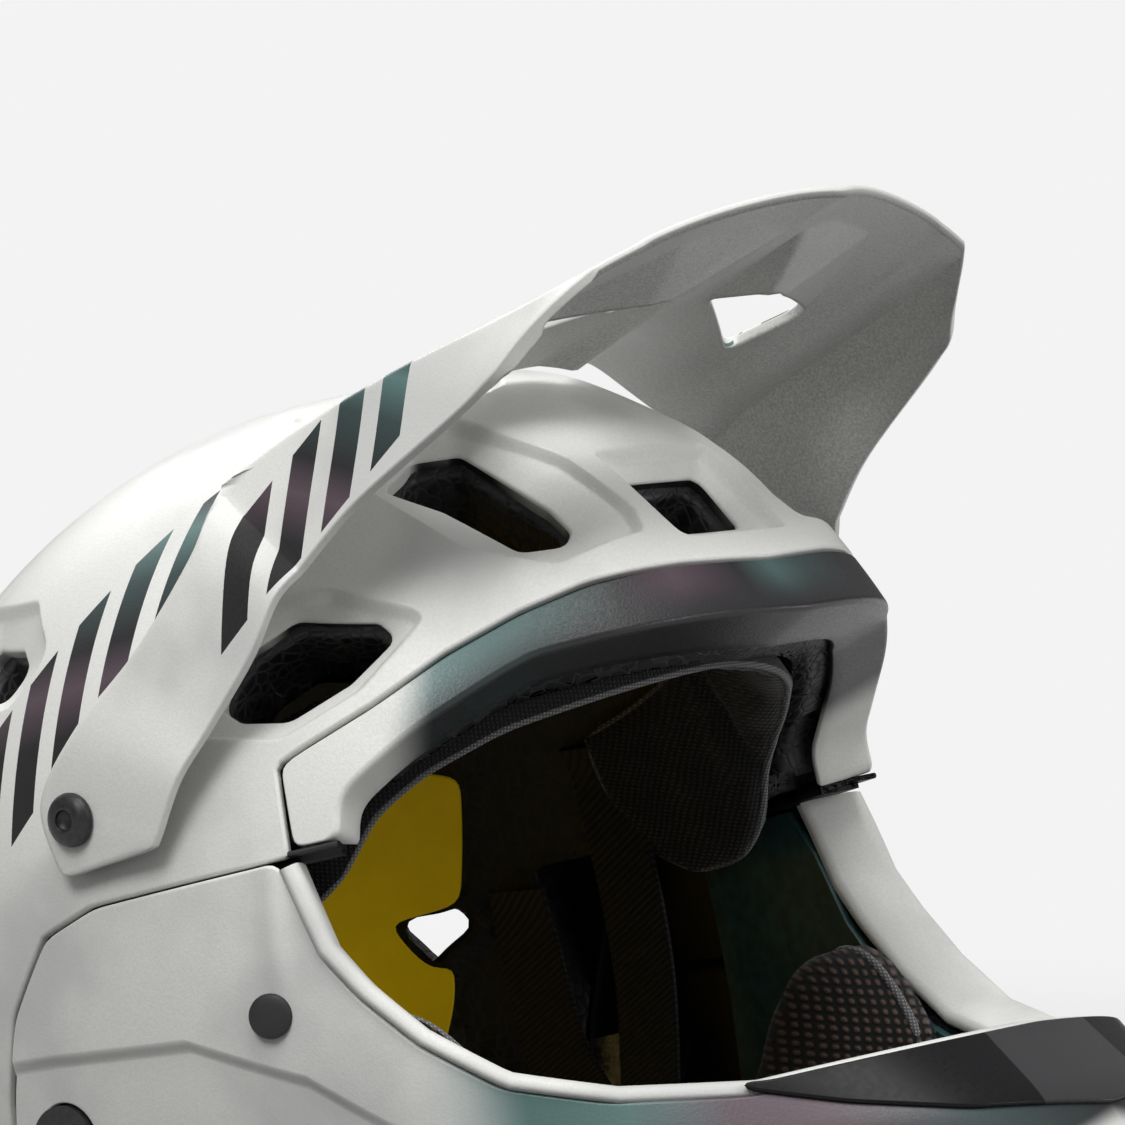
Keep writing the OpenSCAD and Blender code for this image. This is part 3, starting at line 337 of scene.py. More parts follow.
BROW_SEAM = [(0, 30.3), (13, 31), (25, 31), (33, 30), (42, 28), (51, 25), (60, 22.6), (63, 21.6)]
BROW_EDGE = [(0, 23.8), (16, 24.6), (30, 25), (35, 24.6), (47, 21), (54, 17.8), (57, 11)]
NECK = [(117, 8), (130, 4), (142, 1), (150, 0.3), (165, 0.3), (180, 0.3)]
SIDE = [(63, 24), (90, 24), (98, 20), (105, 4), (109, -14)] + [(az, neck_edge(az, lift)) for az, lift in NECK]
BOTTOM = [(0, -126), (20, -125), (35, -112), (50, -100), (64, -92), (90, -86), (105, -80),
          (116.5, neck_edge(116.5, 0.6))]
RIM = [(0, -44), (25, -46), (36, -41), (45, -33), (52, -20), (57, -7), (60, 3), (62.5, 23.4)]
LEDGE = [(0, -70), (30, -66), (48, -52), (58, -38), (66, -24), (80, -10), (100, -6), (116, -4)]


def shell_edge(az):
    az = np.abs(az)
    return np.where(az <= 63, lookup(az, BROW_SEAM), dome_el(az, lookup(az, SIDE)))


def rim_at(az):
    return lookup(np.abs(az), RIM)


# The chin bar's form, at an azimuth and a height
BAR_FRONT = [(-126, 156), (-112, 173), (-96, 182), (-74, 186), (-62, 181), (-44, 166), (-20, 156), (0, 148),
             (24, 141.5)]
BAR_CREASE = [(-30, 68.5), (-8, 67), (24, 65.5)]


def bar_relief(az, z):
    """How far the surface lies inside the plain form, in mm: the scoops, the cheek panel's face, which is set
    in below a ledge, and the upright crease ahead of the pillar, which stands out."""
    a = np.abs(az)
    panel = lookup(a, [(40, 0), (54, 0.9), (62, 1.8), (95, 1.8), (116, 1.2)])
    panel = panel * smoothstep((lookup(a, LEDGE) - z) / 3.5)
    crease = 1.1 * bell((a - lookup(z, BAR_CREASE)) / 1.6) * smoothstep((z + 12) / 14)
    return scoops(BAR_VENTS, az, z) + panel - crease


def bar_point(az, z, out=0.0, shaped=True):
    az, z = np.asarray(az, float), np.asarray(z, float)
    wide = share(az, z)
    front = sum(0.2 * lookup(z + step, BAR_FRONT) for step in (-3, -1.5, 0, 1.5, 3))
    depth = np.where(np.cos(az * D) > 0, front, REAR * wide) + out
    u, v = np.abs(np.sin(az * D)) / (HALF * wide + out), np.abs(np.cos(az * D)) / depth
    r = (u ** BAR_POWER + v ** BAR_POWER) ** (-1 / BAR_POWER)
    if shaped:
        r = r - bar_relief(az, z)
    return np.stack([-r * np.sin(az * D), -r * np.cos(az * D), z + 0 * az], -1)


def inside_bar(az, z, out):
    return bar_point(az, z, out, False)


def lowered(point, depth):
    """The same form, so many millimetres further in."""
    return lambda u, v, out=0.0: point(u, v, out - depth)


# Skins with thickness, holes and rounded rims
def normals(point, uv, flip=-1.0, h=0.05):
    u, v = uv[..., 0], uv[..., 1]
    a = point(u + h, v, 0.0) - point(u - h, v, 0.0)
    b = point(u, v + h, 0.0) - point(u, v - h, 0.0)
    return unit(np.cross(a, b)) * flip


def drift(point, uv, vec, h=0.05):
    """The (u, v) that lies along vec from uv, to first order."""
    u, v = uv[..., 0], uv[..., 1]
    a = (point(u + h, v, 0.0) - point(u - h, v, 0.0)) / (2 * h)
    b = (point(u, v + h, 0.0) - point(u, v - h, 0.0)) / (2 * h)
    aa, ab, bb = (a * a).sum(-1), (a * b).sum(-1), (b * b).sum(-1)
    va, vb = (vec * a).sum(-1), (vec * b).sum(-1)
    det = np.maximum(aa * bb - ab * ab, 1e-9)
    return pair(u + (va * bb - vb * ab) / det, v + (vb * aa - va * ab) / det)


def quarter(r, steps=5):
    """A quarter round from the surface to the wall, as (into the material, below the surface)."""
    return [(r * (1 - math.sin(t)), r * (1 - math.cos(t))) for t in np.linspace(0, math.pi / 2, steps)]


def edge_profile(thick, r=0.9, r2=0.5):
    """The cross-section of a plain rounded edge."""
    low = [(r2 * (1 - math.cos(t)), thick - r2 * (1 - math.sin(t))) for t in np.linspace(0, math.pi / 2, 4)]
    return quarter(r) + low


def vent_profile(thick, depth, lean):
    """A rounded lip, a wall that runs down into the opening, its tip and its back."""
    down = [(-lean * k, 1.0 + (depth - 1.0) * k) for k in (0.33, 0.66, 0.9)]
    tip = [(0.8 - lean - 0.8 * math.cos(t), depth + 0.8 * math.sin(t)) for t in np.linspace(0, math.pi, 5)]
    back = [(1.6 - lean + (lean + 0.2) * k, depth + (thick - depth) * k) for k in (0.5, 0.9)]
    return quarter(1.0) + down + tip + back + [(2.8, thick)]


def profiles(profile, count):
    """One cross-section for each of count points, from a single one or from as many."""
    profile = np.asarray(profile, float)
    return np.broadcast_to(profile if profile.ndim == 3 else profile[None], (count,) + profile.shape[-2:])


def quads(rows, columns, close_rows=False, close_columns=False):
    """The faces of a table of points."""
    down, across = rows - 1 + close_rows, columns - 1 + close_columns
    i, j = np.divmod(np.arange(down * across), across)
    i2, j2 = (i + 1) % rows, (j + 1) % columns
    return np.stack([i * columns + j, i * columns + j2, i2 * columns + j2, i2 * columns + j], -1)


def outwards(faces, verts, norms):
    """The faces, all reversed if most look against the normals."""
    c = np.cross(verts[faces[:, 1]] - verts[faces[:, 0]], verts[faces[:, 3]] - verts[faces[:, 0]])
    vote = np.einsum("ij,ij->i", c, norms[faces].mean(1)).sum()
    return (faces[:, ::-1] if vote < 0 else faces).tolist()


def skin(point, plane, outer, holes, grid, thick, profile=None, flip=-1.0, inner_point=None):
    """A plate on a form: verts in head millimetres, faces and normals. outer is its outline, and each hole is a
    loop with its edge's cross-section. grid holds inner points, and plane lays (u, v) out flat."""
    verts, norms, walls = [], [], []

    def add(p, n):
        base = sum(len(x) for x in verts)
        verts.append(p)
        norms.append(n)
        return base

    def on(uv):
        return point(uv[:, 0], uv[:, 1], 0.0)

    def under(uv):
        if inner_point:
            return inner_point(uv[:, 0], uv[:, 1])
        return on(uv) - thick * normals(point, uv, flip)

    def across(a, b):
        return a[:, 0] * b[:, 1] - a[:, 1] * b[:, 0]

    rings_top, rings_low = [], []
    for loop, edge in [(outer, edge_profile(thick) if profile is None else profile)] + holes:
        p, n = on(loop), normals(point, loop, flip)
        inwards = unit(np.cross(n, unit(np.roll(p, -1, 0) - np.roll(p, 1, 0))))
        flat = plane(loop)
        step = plane(drift(point, loop, inwards * 0.3)) - flat
        turns = np.median(across(np.roll(flat, -1, 0) - np.roll(flat, 1, 0), step))
        if (turns * area_of(flat) > 0) != (loop is outer):
            inwards = -inwards
        m = len(loop)
        edge = profiles(edge, m)
        along = unit(np.gradient(edge, axis=1))
        starts = []
        for k in range(edge.shape[1]):
            into, below = edge[:, k, :1], edge[:, k, 1:]
            if k == 0:
                uv = drift(point, loop, inwards * into)
                starts.append(add(on(uv), normals(point, uv, flip)))
                rings_top.append((uv, starts[-1]))
            elif k == edge.shape[1] - 1:
                uv = drift(point, loop, inwards * into)
                starts.append(add(under(uv), -normals(point, uv, flip)))
                rings_low.append((uv, starts[-1]))
            else:
                nor = -inwards * along[:, k, 1:] - n * along[:, k, :1]
                starts.append(add(p + inwards * into - n * below, nor))
        i = np.arange(m)
        j = (i + 1) % m
        walls += [np.stack([a + i, a + j, b + j, b + i], -1) for a, b in zip(starts, starts[1:])]

    def fill(rings, lower):
        loops, index, edges, start = [], [], [], 0
        for uv, base in rings:
            k = np.arange(len(uv))
            loops.append(plane(uv))
            index.append(base + k)
            edges += list(zip((start + k).tolist(), (start + (k + 1) % len(uv)).tolist()))
            start += len(uv)
        inner = grid[within(plane(grid), loops)]
        inner = inner[nearest(on(inner), np.vstack([on(uv) for uv, _ in rings])) > 1.0]
        nor = normals(point, inner, flip)
        base = add(under(inner), -nor) if lower else add(on(inner), nor)
        index.append(base + np.arange(len(inner)))
        flat = np.vstack(loops + [plane(inner)])
        result = delaunay_2d_cdt([Vector((float(x), float(y))) for x, y in flat], edges, [], 0, 1e-7)
        source = [o[0] if len(o) else -1 for o in result[3]]
        cells = np.array([[source[i] for i in f] for f in result[2] if len(f) == 3])
        cells = cells[(cells >= 0).all(1)]
        return np.concatenate(index)[cells[within(flat[cells].mean(1), loops)]]

    top, low = fill(rings_top, False), fill(rings_low, True)
    verts, norms = np.vstack(verts), np.vstack(norms)
    faces = []
    for cells in (top, low):
        c = np.cross(verts[cells[:, 1]] - verts[cells[:, 0]], verts[cells[:, 2]] - verts[cells[:, 0]])
        wrong = np.einsum("ij,ij->i", c, norms[cells[:, 0]]) < 0
        cells[wrong] = cells[wrong][:, ::-1]
        faces += cells.tolist()
    for wall in walls:
        faces += outwards(wall, verts, norms)
    return verts, faces, unit(norms)


def sweep(path, side, up, profile, closed=False):
    """A closed cross-section of (side, up) carried along a path that has both directions at each point."""
    edge = profiles(profile, len(path))
    k = edge.shape[1]
    verts = path[:, None] + side[:, None] * edge[..., :1] + up[:, None] * edge[..., 1:]
    along = unit(np.roll(edge, -1, 1) - np.roll(edge, 1, 1)) * (1.0 if area_of(edge[0]) > 0 else -1.0)
    norms = unit((side[:, None] * along[..., 1:] - up[:, None] * along[..., :1]).reshape(-1, 3))
    verts = verts.reshape(-1, 3)
    faces = outwards(quads(len(path), k, closed, True), verts, norms)
    if not closed:
        last = (len(path) - 1) * k
        faces += [list(range(k)), list(range(last, last + k))[::-1]]
    return verts, faces, norms


def strip(line, out, profile):
    """A cross-section of (out, up) carried along a line on a form."""
    up = unit(np.cross(out, unit(np.gradient(line, axis=0))))
    return sweep(line, out, up * np.sign(up[:, 2:]), profile)


def lathe(profile, at, axis, sides):
    """A turned piece. profile is (distance along the axis, radius) from back to front."""
    axis = unit(np.asarray(axis, float))
    u = unit(np.cross(axis, [0, 0.1, 1]))
    a = np.linspace(0, 2 * math.pi, sides, endpoint=False)
    ring = (np.cos(a)[:, None] * u + np.sin(a)[:, None] * np.cross(axis, u))[:, None]
    profile = np.asarray(profile, float)
    along = unit(np.gradient(profile, axis=0))
    verts = np.asarray(at, float) + profile[:, :1] * axis + profile[:, 1:] * ring
    norms = unit((along[:, :1] * ring - along[:, 1:] * axis).reshape(-1, 3))
    verts = verts.reshape(-1, 3)
    return verts, outwards(quads(sides, len(profile), True), verts, norms), norms


def joined(parts):
    """Several pieces of verts, faces and normals as one."""
    starts = np.cumsum([0] + [len(v) for v, _, _ in parts])
    faces = [[i + int(base) for i in face] for (_, f, _), base in zip(parts, starts) for face in f]
    return np.vstack([v for v, _, _ in parts]), faces, np.vstack([n for _, _, n in parts])


def flipped(part):
    """The mirror image on the helmet's other side."""
    verts, faces, norms = part
    return verts * MIRROR, [f[::-1] for f in faces], norms * MIRROR


# Objects, with notes for their materials
def make_mesh(name, verts, faces, norms=None):
    me = bpy.data.meshes.new(name)
    me.from_pydata([tuple(v) for v in world(verts)], [], [tuple(int(i) for i in f) for f in faces])
    me.validate(clean_customdata=False)
    me.polygons.foreach_set("use_smooth", [True] * len(me.polygons))
    me.update()
    if norms is not None:
        me.normals_split_custom_set_from_vertices([tuple(n) for n in turn(norms)])
    ob = bpy.data.objects.new(name, me)
    bpy.context.scene.collection.objects.link(ob)
    note(ob, "az", azimuth(verts))
    note(ob, "rise", verts[:, 2])
    return ob


def note(ob, name, values):
    attribute = ob.data.attributes.new(name, "FLOAT", "POINT")
    attribute.data.foreach_set("value", np.asarray(values, np.float32).ravel())


def assign(ob, body, nodes):
    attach(ob, body)
    if nodes:
        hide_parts(*nodes)


def place(name, verts, faces, norms, body, slot, *nodes):
    ob = make_mesh(name, verts, faces, norms)
    note(ob, "face", (unit(verts) * norms).sum(1))
    assign(ob, body, nodes)
    return ob


# Plane maps, grids and outlines
def polar(uv):
    r = 90 - uv[..., 1]
    return pair(r * np.cos(uv[..., 0] * D), r * np.sin(uv[..., 0] * D))


def bar_plane(uv):
    return uv * (D * BAR_RADIUS, 1.0)


def dome_grid(gap, radius=135):
    """Staggered rows of points over the dome."""
    rows, el = [], 89.0
    while el > -34:
        n = max(6, int(2 * math.pi * radius * math.cos(el * D) / gap))
        rows.append(pair((np.arange(n) + 0.5 * (len(rows) % 2)) * 360 / n - 180, el))
        el -= gap / radius / D * 0.87
    return np.vstack(rows)


def bar_grid(gap, low=-130.0, high=26.0, span=117.0):
    """Staggered rows of points over the chin bar."""
    step = gap / BAR_RADIUS / D
    g = np.stack(np.meshgrid(np.arange(-span, span, step), np.arange(low, high, gap)), -1)
    g[1::2, :, 0] += step / 2
    return g.reshape(-1, 2)


def round_edge(edge, gap=2.2):
    """The closed edge of a bowl as a loop of (azimuth, elevation), evenly spaced."""
    az = np.linspace(-180, 180, 1441)
    s = np.concatenate([[0], np.cumsum(np.linalg.norm(np.diff(dome_point(az, edge(az)), axis=0), axis=1))])
    q = np.linspace(0, s[-1], int(s[-1] / gap), endpoint=False)
    return pair(np.interp(q, s, az), np.interp(q, s, edge(az)))


def both(loops):
    """Loops of the right half with their mirror images."""
    return loops + [loop[::-1] * (-1, 1) for loop in loops]


def bar_strip(low, high, last, gap, radius=BAR_RADIUS):
    """The outline of a band round the chin bar between two edges, as a loop of (azimuth, height)."""
    u = np.linspace(-last, last, 400)
    loop = np.vstack([pair(u, low(u)), pair(u[::-1], high(u[::-1]))])
    return smoothed(resample(loop * (D * radius, 1.0), gap), 2) / (D * radius, 1.0)


def around(loop, offsets):
    """Rows of points at even distances inside (negative) and outside a closed plane line."""
    t = unit(np.roll(loop, -1, 0) - np.roll(loop, 1, 0))
    n = pair(t[:, 1], -t[:, 0]) * np.sign(area_of(loop))
    return [loop + n * k for k in offsets]


def circle_on(point, second, y, z, radius, n=44):
    """A circle seen along X, as a loop of (u, v) on the right side of a form. second reads v from a point."""
    t = np.linspace(0, 2 * math.pi, n, endpoint=False)
    p = np.stack([np.full(n, -110.0), y + radius * np.cos(t), z + radius * np.sin(t)], -1)
    for _ in range(8):
        uv = pair(azimuth(p), second(p))
        p[:, 0] = point(uv[:, 0], uv[:, 1])[:, 0]
    return uv


def openings(vents, profile):
    """The holes of a form's vents, and rows of points that keep the ridges sharp."""
    holes, rows = [], []
    for vent in vents.values():
        loop = spread(vent["hole"], vent)
        holes += [(l, profile) for l in (both([loop]) if vent["middle"][0] else [loop])]
        for row in around(vent["ridge"], (-3, -2.4, -1.8, -1.2, -0.6, 0, 0.6)):
            rows += both([spread(row, vent)])
    return holes, rows


# The shell
holes, rows = openings(VENTS, vent_profile(WALL, 9.0, 0.6))
bore = circle_on(dome_point, elevation, *PIVOT, 6.5)
holes += [(loop, edge_profile(WALL, 0.4, 0.4)) for loop in both([bore])]
grid = np.vstack([dome_grid(2.8)] + rows)
shell = place("shell_skin", *skin(dome_point, polar, round_edge(shell_edge), holes, grid, WALL),
              "helmet", "pearl_white", "outer_shell")


# The chin bar, with holes for its plugs and buttons
def bar_top(az):
    a = np.abs(az)
    return np.where(a < 64.2, rim_at(np.maximum(a - 1.4, 0)) - 3.3, lookup(a + 0.5, SIDE) - GAP)


def bar_low(az):
    z = lookup(np.abs(az), BOTTOM)
    return np.maximum(z, floor_at(-bar_point(az, z)[..., 1]) + 0.6)


PLUG = np.array([68.5, -9.6])
t = np.linspace(0, 2 * math.pi, 30, endpoint=False)
plug_hole = 3.4 * pair(np.cos(t), np.sin(t)) / (D * 112, 1.0) + PLUG
button_hole = circle_on(bar_point, lambda p: p[:, 2], 22.0, -26.0, 8.9)
holes, rows = openings(BAR_VENTS, vent_profile(BAR_WALL, 12.0, 0.8))
holes += [(loop, edge_profile(BAR_WALL, 0.5, 0.4)) for loop in both([plug_hole, button_hole])]
a = np.linspace(41, 116, 330)
for down in (-0.7, -0.1, 0.5, 1.2, 1.8, 2.4, 3.0, 3.6, 4.3):
    rows += both([pair(a, lookup(np.maximum(a, 48), LEDGE) - down)])
z = np.linspace(-12, 24, 60)
for across in (-2.6, -1.6, -0.8, 0, 0.8, 1.6, 2.6):
    rows += both([pair(lookup(z, BAR_CREASE) + across, z)])
grid = np.vstack([bar_grid(2.6)] + rows)
outline = bar_strip(bar_low, bar_top, 116.3, 2.0)
bar = place("chin_bar_skin", *skin(bar_point, bar_plane, outline, holes, grid, BAR_WALL),
            "chin_bar", "pearl_white", "chin_bar_shell")

# The lines of the peak's right half: distances from the middle, ahead of the pivot and above it
EAR = HALF + 2.4
SPINE = [(0, 158.9, 103.4), (0, 141.4, 98.6), (0, 115.4, 93.6), (0, 90.4, 88.6), (0, 72.4, 84.6)]
CREASE = [(68.9, 139.3, 92.7), (76, 117, 87), (83, 87, 81), (86, 58, 74), (90, 38, 66)]
LOWER = [(80.5, 137.6, 85.6), (85.7, 119, 74.5), (88.3, 108.1, 67.9), (95.7, 80.4, 53.8), (100.6, 64.9, 42.4)]
EAR_BACK = [(90, 38, 66), (97.5, 38.5, 60), (103, 35.5, 51), (109.5, 20.5, 34), (EAR - 1.2, 3, 19.5),
            (EAR, -10, 5), (EAR, -7.5, -12.4)]
EAR_FRONT = [(100.6, 64.9, 42.4), (105.1, 59.5, 37), (108.5, 51.8, 25.3), (112.2, 39.3, 12.2),
             (EAR - 1, 31, 3), (EAR, 23.4, -7.6), (EAR, 20.8, -11)]
STEPS = 40


def traced(points):
    """A function that follows a line from point to point as its value counts up."""
    line = spline(points, STEPS)
    return lambda v: np.stack([np.interp(v * STEPS, np.arange(len(line)), column) for column in line.T], -1)


spine_at, crease_at, lower_at = traced(SPINE), traced(CREASE), traced(LOWER)
back_at, front_at = traced(EAR_BACK), traced(EAR_FRONT)


def peak_form(s, v):
    """s crosses from -7 to 7 with the crease at 5. v goes back from the lip: 0 to 4 overhead, then to 10 down
    the ears."""
    k = np.abs(s)[..., None]
    u = np.clip(k / 5, 0, 1)
    ear = (v > 4)[..., None]
    crease, low = np.where(ear, back_at(v - 4), crease_at(v)), np.where(ear, front_at(v - 4), lower_at(v))
    spine = np.where(ear, spine_at(v) + (back_at(v - 4) - back_at(0 * v)), spine_at(v))
    spine[..., 0] = 0
    soft = (np.sqrt(u * u + 0.06) - 0.245) / 0.785
    bow, skew = 4 * u * (1 - u), 4 * u * (1 - u) * (1 - 2 * u)
    top = spine + (crease - spine) * np.concatenate([u, soft, soft], -1)
    top[..., 1:2] -= (1.67 + 5 * smoothstep((v[..., None] - 2.6) / 1.4)) * bow + 1.29 * skew
    top[..., 2:3] += 2.77 * bow - 0.71 * skew
    p = np.where(k > 5, crease + (low - crease) * (k - 5) / 2, top)
    return np.stack([p[..., 0] * np.where(s < 0, -1.0, 1.0), PIVOT[0] - p[..., 1], PIVOT[1] + p[..., 2]], -1)


# The scoop in front of each hole, as (s, v) corners of four facets that fall to its foot
FOOT, FAR_END, NEAR_END = (1.36, 1.88), (3.58, 2.04), (1.06, 2.5)
LIP_IN, LIP_MIDDLE, LIP_OUT = (0.2, 0.86), (0.9, 0.72), (2.35, 0.74)
FACETS = [(LIP_IN, NEAR_END), (LIP_IN, LIP_MIDDLE), (LIP_MIDDLE, LIP_OUT), (LIP_OUT, FAR_END)]
FOOT_DEPTH = 7.0


def peak_relief(s, v):
    """How far the plate lies below its plain form, in mm: the facets, the step inside the crease and the middle
    groove."""
    a = np.abs(s)
    dip = np.zeros(a.shape)
    r = FOOT
    for p, q in FACETS:
        det = (q[1] - r[1]) * (p[0] - r[0]) + (r[0] - q[0]) * (p[1] - r[1])
        w1 = ((q[1] - r[1]) * (a - r[0]) + (r[0] - q[0]) * (v - r[1])) / det
        w2 = ((r[1] - p[1]) * (a - r[0]) + (p[0] - r[0]) * (v - r[1])) / det
        inside = (w1 >= 0) & (w2 >= 0) & (1 - w1 - w2 >= 0)
        dip = np.maximum(dip, np.where(inside, (1 - w1 - w2) * FOOT_DEPTH, 0))
    first = lookup(v, [(0.7, 3.9), (2.0, 3.75), (3.8, 3.45)])
    last = lookup(v, [(0.8, 4.05), (2.3, 4.15), (3.7, 4.1)])
    step = lookup(v, [(0.7, 0.3), (2.8, 2.4), (3.7, 0)]) * np.clip((a - first) / (last - first), 0, 1)
    groove = lookup(v, [(1.85, 0), (4, 2.4)]) * np.clip(1 - a / 0.48, 0, 1)
    return dip + step * (1 - smoothstep((a - 4.25) / 0.9)) + groove


def peak_point(s, v, out=0.0):
    s, v = np.broadcast_arrays(np.asarray(s, float), np.asarray(v, float))
    form = sum(peak_form(s + i, v) for i in (-0.09, -0.03, 0.03, 0.09)) / 4
    dip = sum(peak_relief(s + i, v + j) for j in (-0.02, 0.02) for i in (-0.03, 0.03)) / 4
    return form - dip[..., None] * np.array([0, 0.206, 0.978])


def peak_thick(s, v):
    """Thin at the lip, with a thicker band inside the outer edge."""
    k = np.abs(s)
    band = smoothstep((k - 6.1) / 0.2) * (1 - smoothstep((k - 6.75) / 0.25)) * (1 - smoothstep((v - 3.2) / 1.2))
    return 2.6 - 1.1 * smoothstep(1 - v / 0.12) + 1.6 * band


def peak_under(s, v):
    return peak_point(s, v) - peak_thick(s, v)[:, None] * normals(peak_point, pair(s, v), 1.0)


# The peak: its outline, its holes, and rows of points along the creases
PEAK_SCALE = (15.0, 20.0)
CORNERS = [(-5, 0), (5, 0), (7, 1), (7, 4), (7, 10), (5, 10), (5, 4),
           (-5, 4), (-5, 10), (-7, 10), (-7, 4), (-7, 1)]
HOLE = [(1.02, 2.32), (1.2, 1.7), (3.56, 1.96), (3.2, 2.78)]
CORNER_RADII = [2, 2, 8, 30, 4, 5, 2.5, 2.5, 5, 4, 30, 8]
outline = rounded(np.array(CORNERS) * PEAK_SCALE, CORNER_RADII, 2.0) / PEAK_SCALE
hole = rounded(np.array(HOLE) * PEAK_SCALE, [2.5, 2, 3, 3], 1.2) / PEAK_SCALE
grid = np.stack(np.meshgrid(np.arange(-7, 7.01, 3.2 / 15), np.arange(0, 10, 3.2 / 20)), -1).reshape(-1, 2)
rows = [pair(s, np.linspace(0, 9.9, 300)) for s in (4.8, 4.88, 4.95, 5.05, 5.12, 5.2)]
STEP_LINES = [((3.9, 0.72), (3.45, 3.9)), ((4.05, 0.8), (4.13, 3.9)),
              ((0, 1.85), (0.02, 3.9)), ((0, 1.85), (0.48, 3.9))]
FOLDS = [(FOOT, LIP_IN), (FOOT, LIP_MIDDLE), (FOOT, LIP_OUT)] + FACETS + STEP_LINES
for a, b in np.array(FOLDS, float):
    beside = unit(np.array([b[1] - a[1], a[0] - b[0]])) * 0.05
    rows += [a + (b - a) * np.linspace(0, 1, 40)[:, None] + beside * k for k in (-1, 0.01, 1)]
rows += [row * (-1, 1) for row in rows]
lip = [edge_profile(thick, 0.6, 0.5) for thick in peak_thick(*outline.T)]
holes = [(loop, edge_profile(PEAK_WALL, 0.8, 0.8)) for loop in both([hole])]
part = skin(peak_point, lambda uv: uv * PEAK_SCALE, outline, holes, np.vstack([grid] + rows), PEAK_WALL, lip,
            1.0, peak_under)
peak = place("peak_plate", *part, "peak", "pearl_white", "peak")

# The brow trim: its face flush with the shell, and a return under the foam along the eyeport
TRIM_SCALE = (2.15, 2.44)
FOOT_HEIGHT = SEAM + 1.9
az = np.linspace(-62.5, 62.5, 300)
top_line = pair(az, lookup(np.abs(az), BROW_SEAM) - 0.42)
PORT = [(57.0, 14.0), (56.2, 16.2), (54, 17.8), (47, 21), (35, 24.6), (30, 25), (16, 24.6), (0, 23.8)]
port = spline([(57.2, float(dome_el(57.2, FOOT_HEIGHT)))] + PORT, 14)
port = np.vstack([port, (port * (-1, 1))[::-1][1:]])
az = np.linspace(57.2, 62.5, 8)
foot = pair(az, dome_el(az, FOOT_HEIGHT))
loop = smoothed(resample(np.vstack([top_line, foot[::-1], port, foot * (-1, 1)]) * TRIM_SCALE, 1.8), 2)
by_port = smoothstep((3.5 - nearest(loop, resample(port * TRIM_SCALE, 1.0, False))) / 2.5)[:, None, None]
deep = [(0, 6), (0, 12), (0, 15.2), (0.8, 16), (1.6, 15.2), (1.9, 12), (2.0, 6), (2.3, 3.2), (3.4, 2.4)]
flat = [(0, 0.8), (0, 1.2), (0, 1.6), (0.05, 1.9), (0.1, 2.1), (0.2, 2.2), (0.3, 2.3), (0.6, 2.38), (1.0, 2.4)]
deep, flat = np.array(quarter(1.6, 6) + deep), np.array(quarter(0.5, 6) + flat)
a = np.arange(-63, 63, 1.1)
grid = np.vstack([pair(a + 0.5 * (k % 2), e) for k, e in enumerate(np.arange(9, 32, 1.0))])
part = skin(lowered(dome_point, 0.1), lambda uv: uv * TRIM_SCALE, loop / TRIM_SCALE, [], grid, TRIM_WALL,
            by_port * deep + (1 - by_port) * flat)
trim = place("brow_band", *part, "helmet", "shifting_trim", "brow_trim")
note(trim, "below", lookup(np.abs(azimuth(part[0])), BROW_SEAM) - elevation(part[0]))

# The rim of the chin bar: a rounded cap that turns in over the padding
az = np.arange(-62.4, 62.41, 0.8)
line = bar_point(az, rim_at(az))
cap = [(0, -4.2), (0, -2.6), (-0.7, -1.0), (-2.2, -0.2), (-4.5, 0), (-9, -0.2), (-14.5, -0.9), (-16.3, -1.8),
       (-16.8, -3.2), (-16.4, -4.0), (-15.6, -3.4), (-14.0, -2.6), (-9, -2.1), (-4.5, -2.0), (-3.2, -2.8),
       (-2.9, -4.2)]
rim = place("chin_rim_cap", *strip(line, unit(bar_point(az, rim_at(az), 1.0) - line), cap),
            "chin_bar", "pearl_white", "chin_rim_trim")


# The gloss wedge over the nose
def wedge_low(a):
    return lookup(np.abs(a), [(0, -66), (12, -61.5), (20, -55), (27, -47.5)])


outline = bar_strip(wedge_low, lambda a: rim_at(a) - 0.6, 27, 1.8, 170)
part = skin(lowered(bar_point, -THIN_WALL), bar_plane, outline, [], bar_grid(3.0, -70, -44, 28), THIN_WALL,
            edge_profile(THIN_WALL, 0.7, 0.3))
wedge = place("nose_wedge", *part, "chin_bar", "gloss_black", "chin_front_trim")

# The rubber seals: a lip along the seam beside the eyeport, a strip in the shell's edge and an upright behind
SEAL_LIFT = 0.85
az = np.linspace(57.6, 63.4, 16)
line = dome_point(az, dome_el(az, SEAM + SEAL_LIFT), -0.5)
LIP = [(0, -0.65), (0.3, -0.3), (0.3, 0.3), (0, 0.65), (-14, 0.5), (-14, -2.2), (-4.6, -2.2), (-4.6, -0.65)]
seal = [strip(line, unit(line * (1, 1, 0)), LIP)]
az = np.linspace(63.4, 115, 60)
line = dome_point(az, dome_el(az, lookup(az, SIDE) + SEAL_LIFT), -0.5)
seal.append(strip(line, unit(line * (1, 1, 0)), [(-4.6, -0.75), (-14, -0.75), (-14, -3.0), (-4.6, -3.0)]))
line = inside_bar(116.9, np.linspace(neck_edge(116.9, 1.5), 21, 40), -4.9)
away = unit(line * (1, 1, 0))
beside = unit(np.cross(away, [0, 0, 1.0]))
seal.append(sweep(line, beside, away, [(-2.6, -0.5), (2.6, -0.5), (2.6, 0.5), (-2.6, 0.5)]))
seal = joined(seal)
seal_right = place("seal_right", *seal, "helmet", "black_rubber", "gasket_right")
seal_left = place("seal_left", *flipped(seal), "helmet", "black_rubber", "gasket_left")


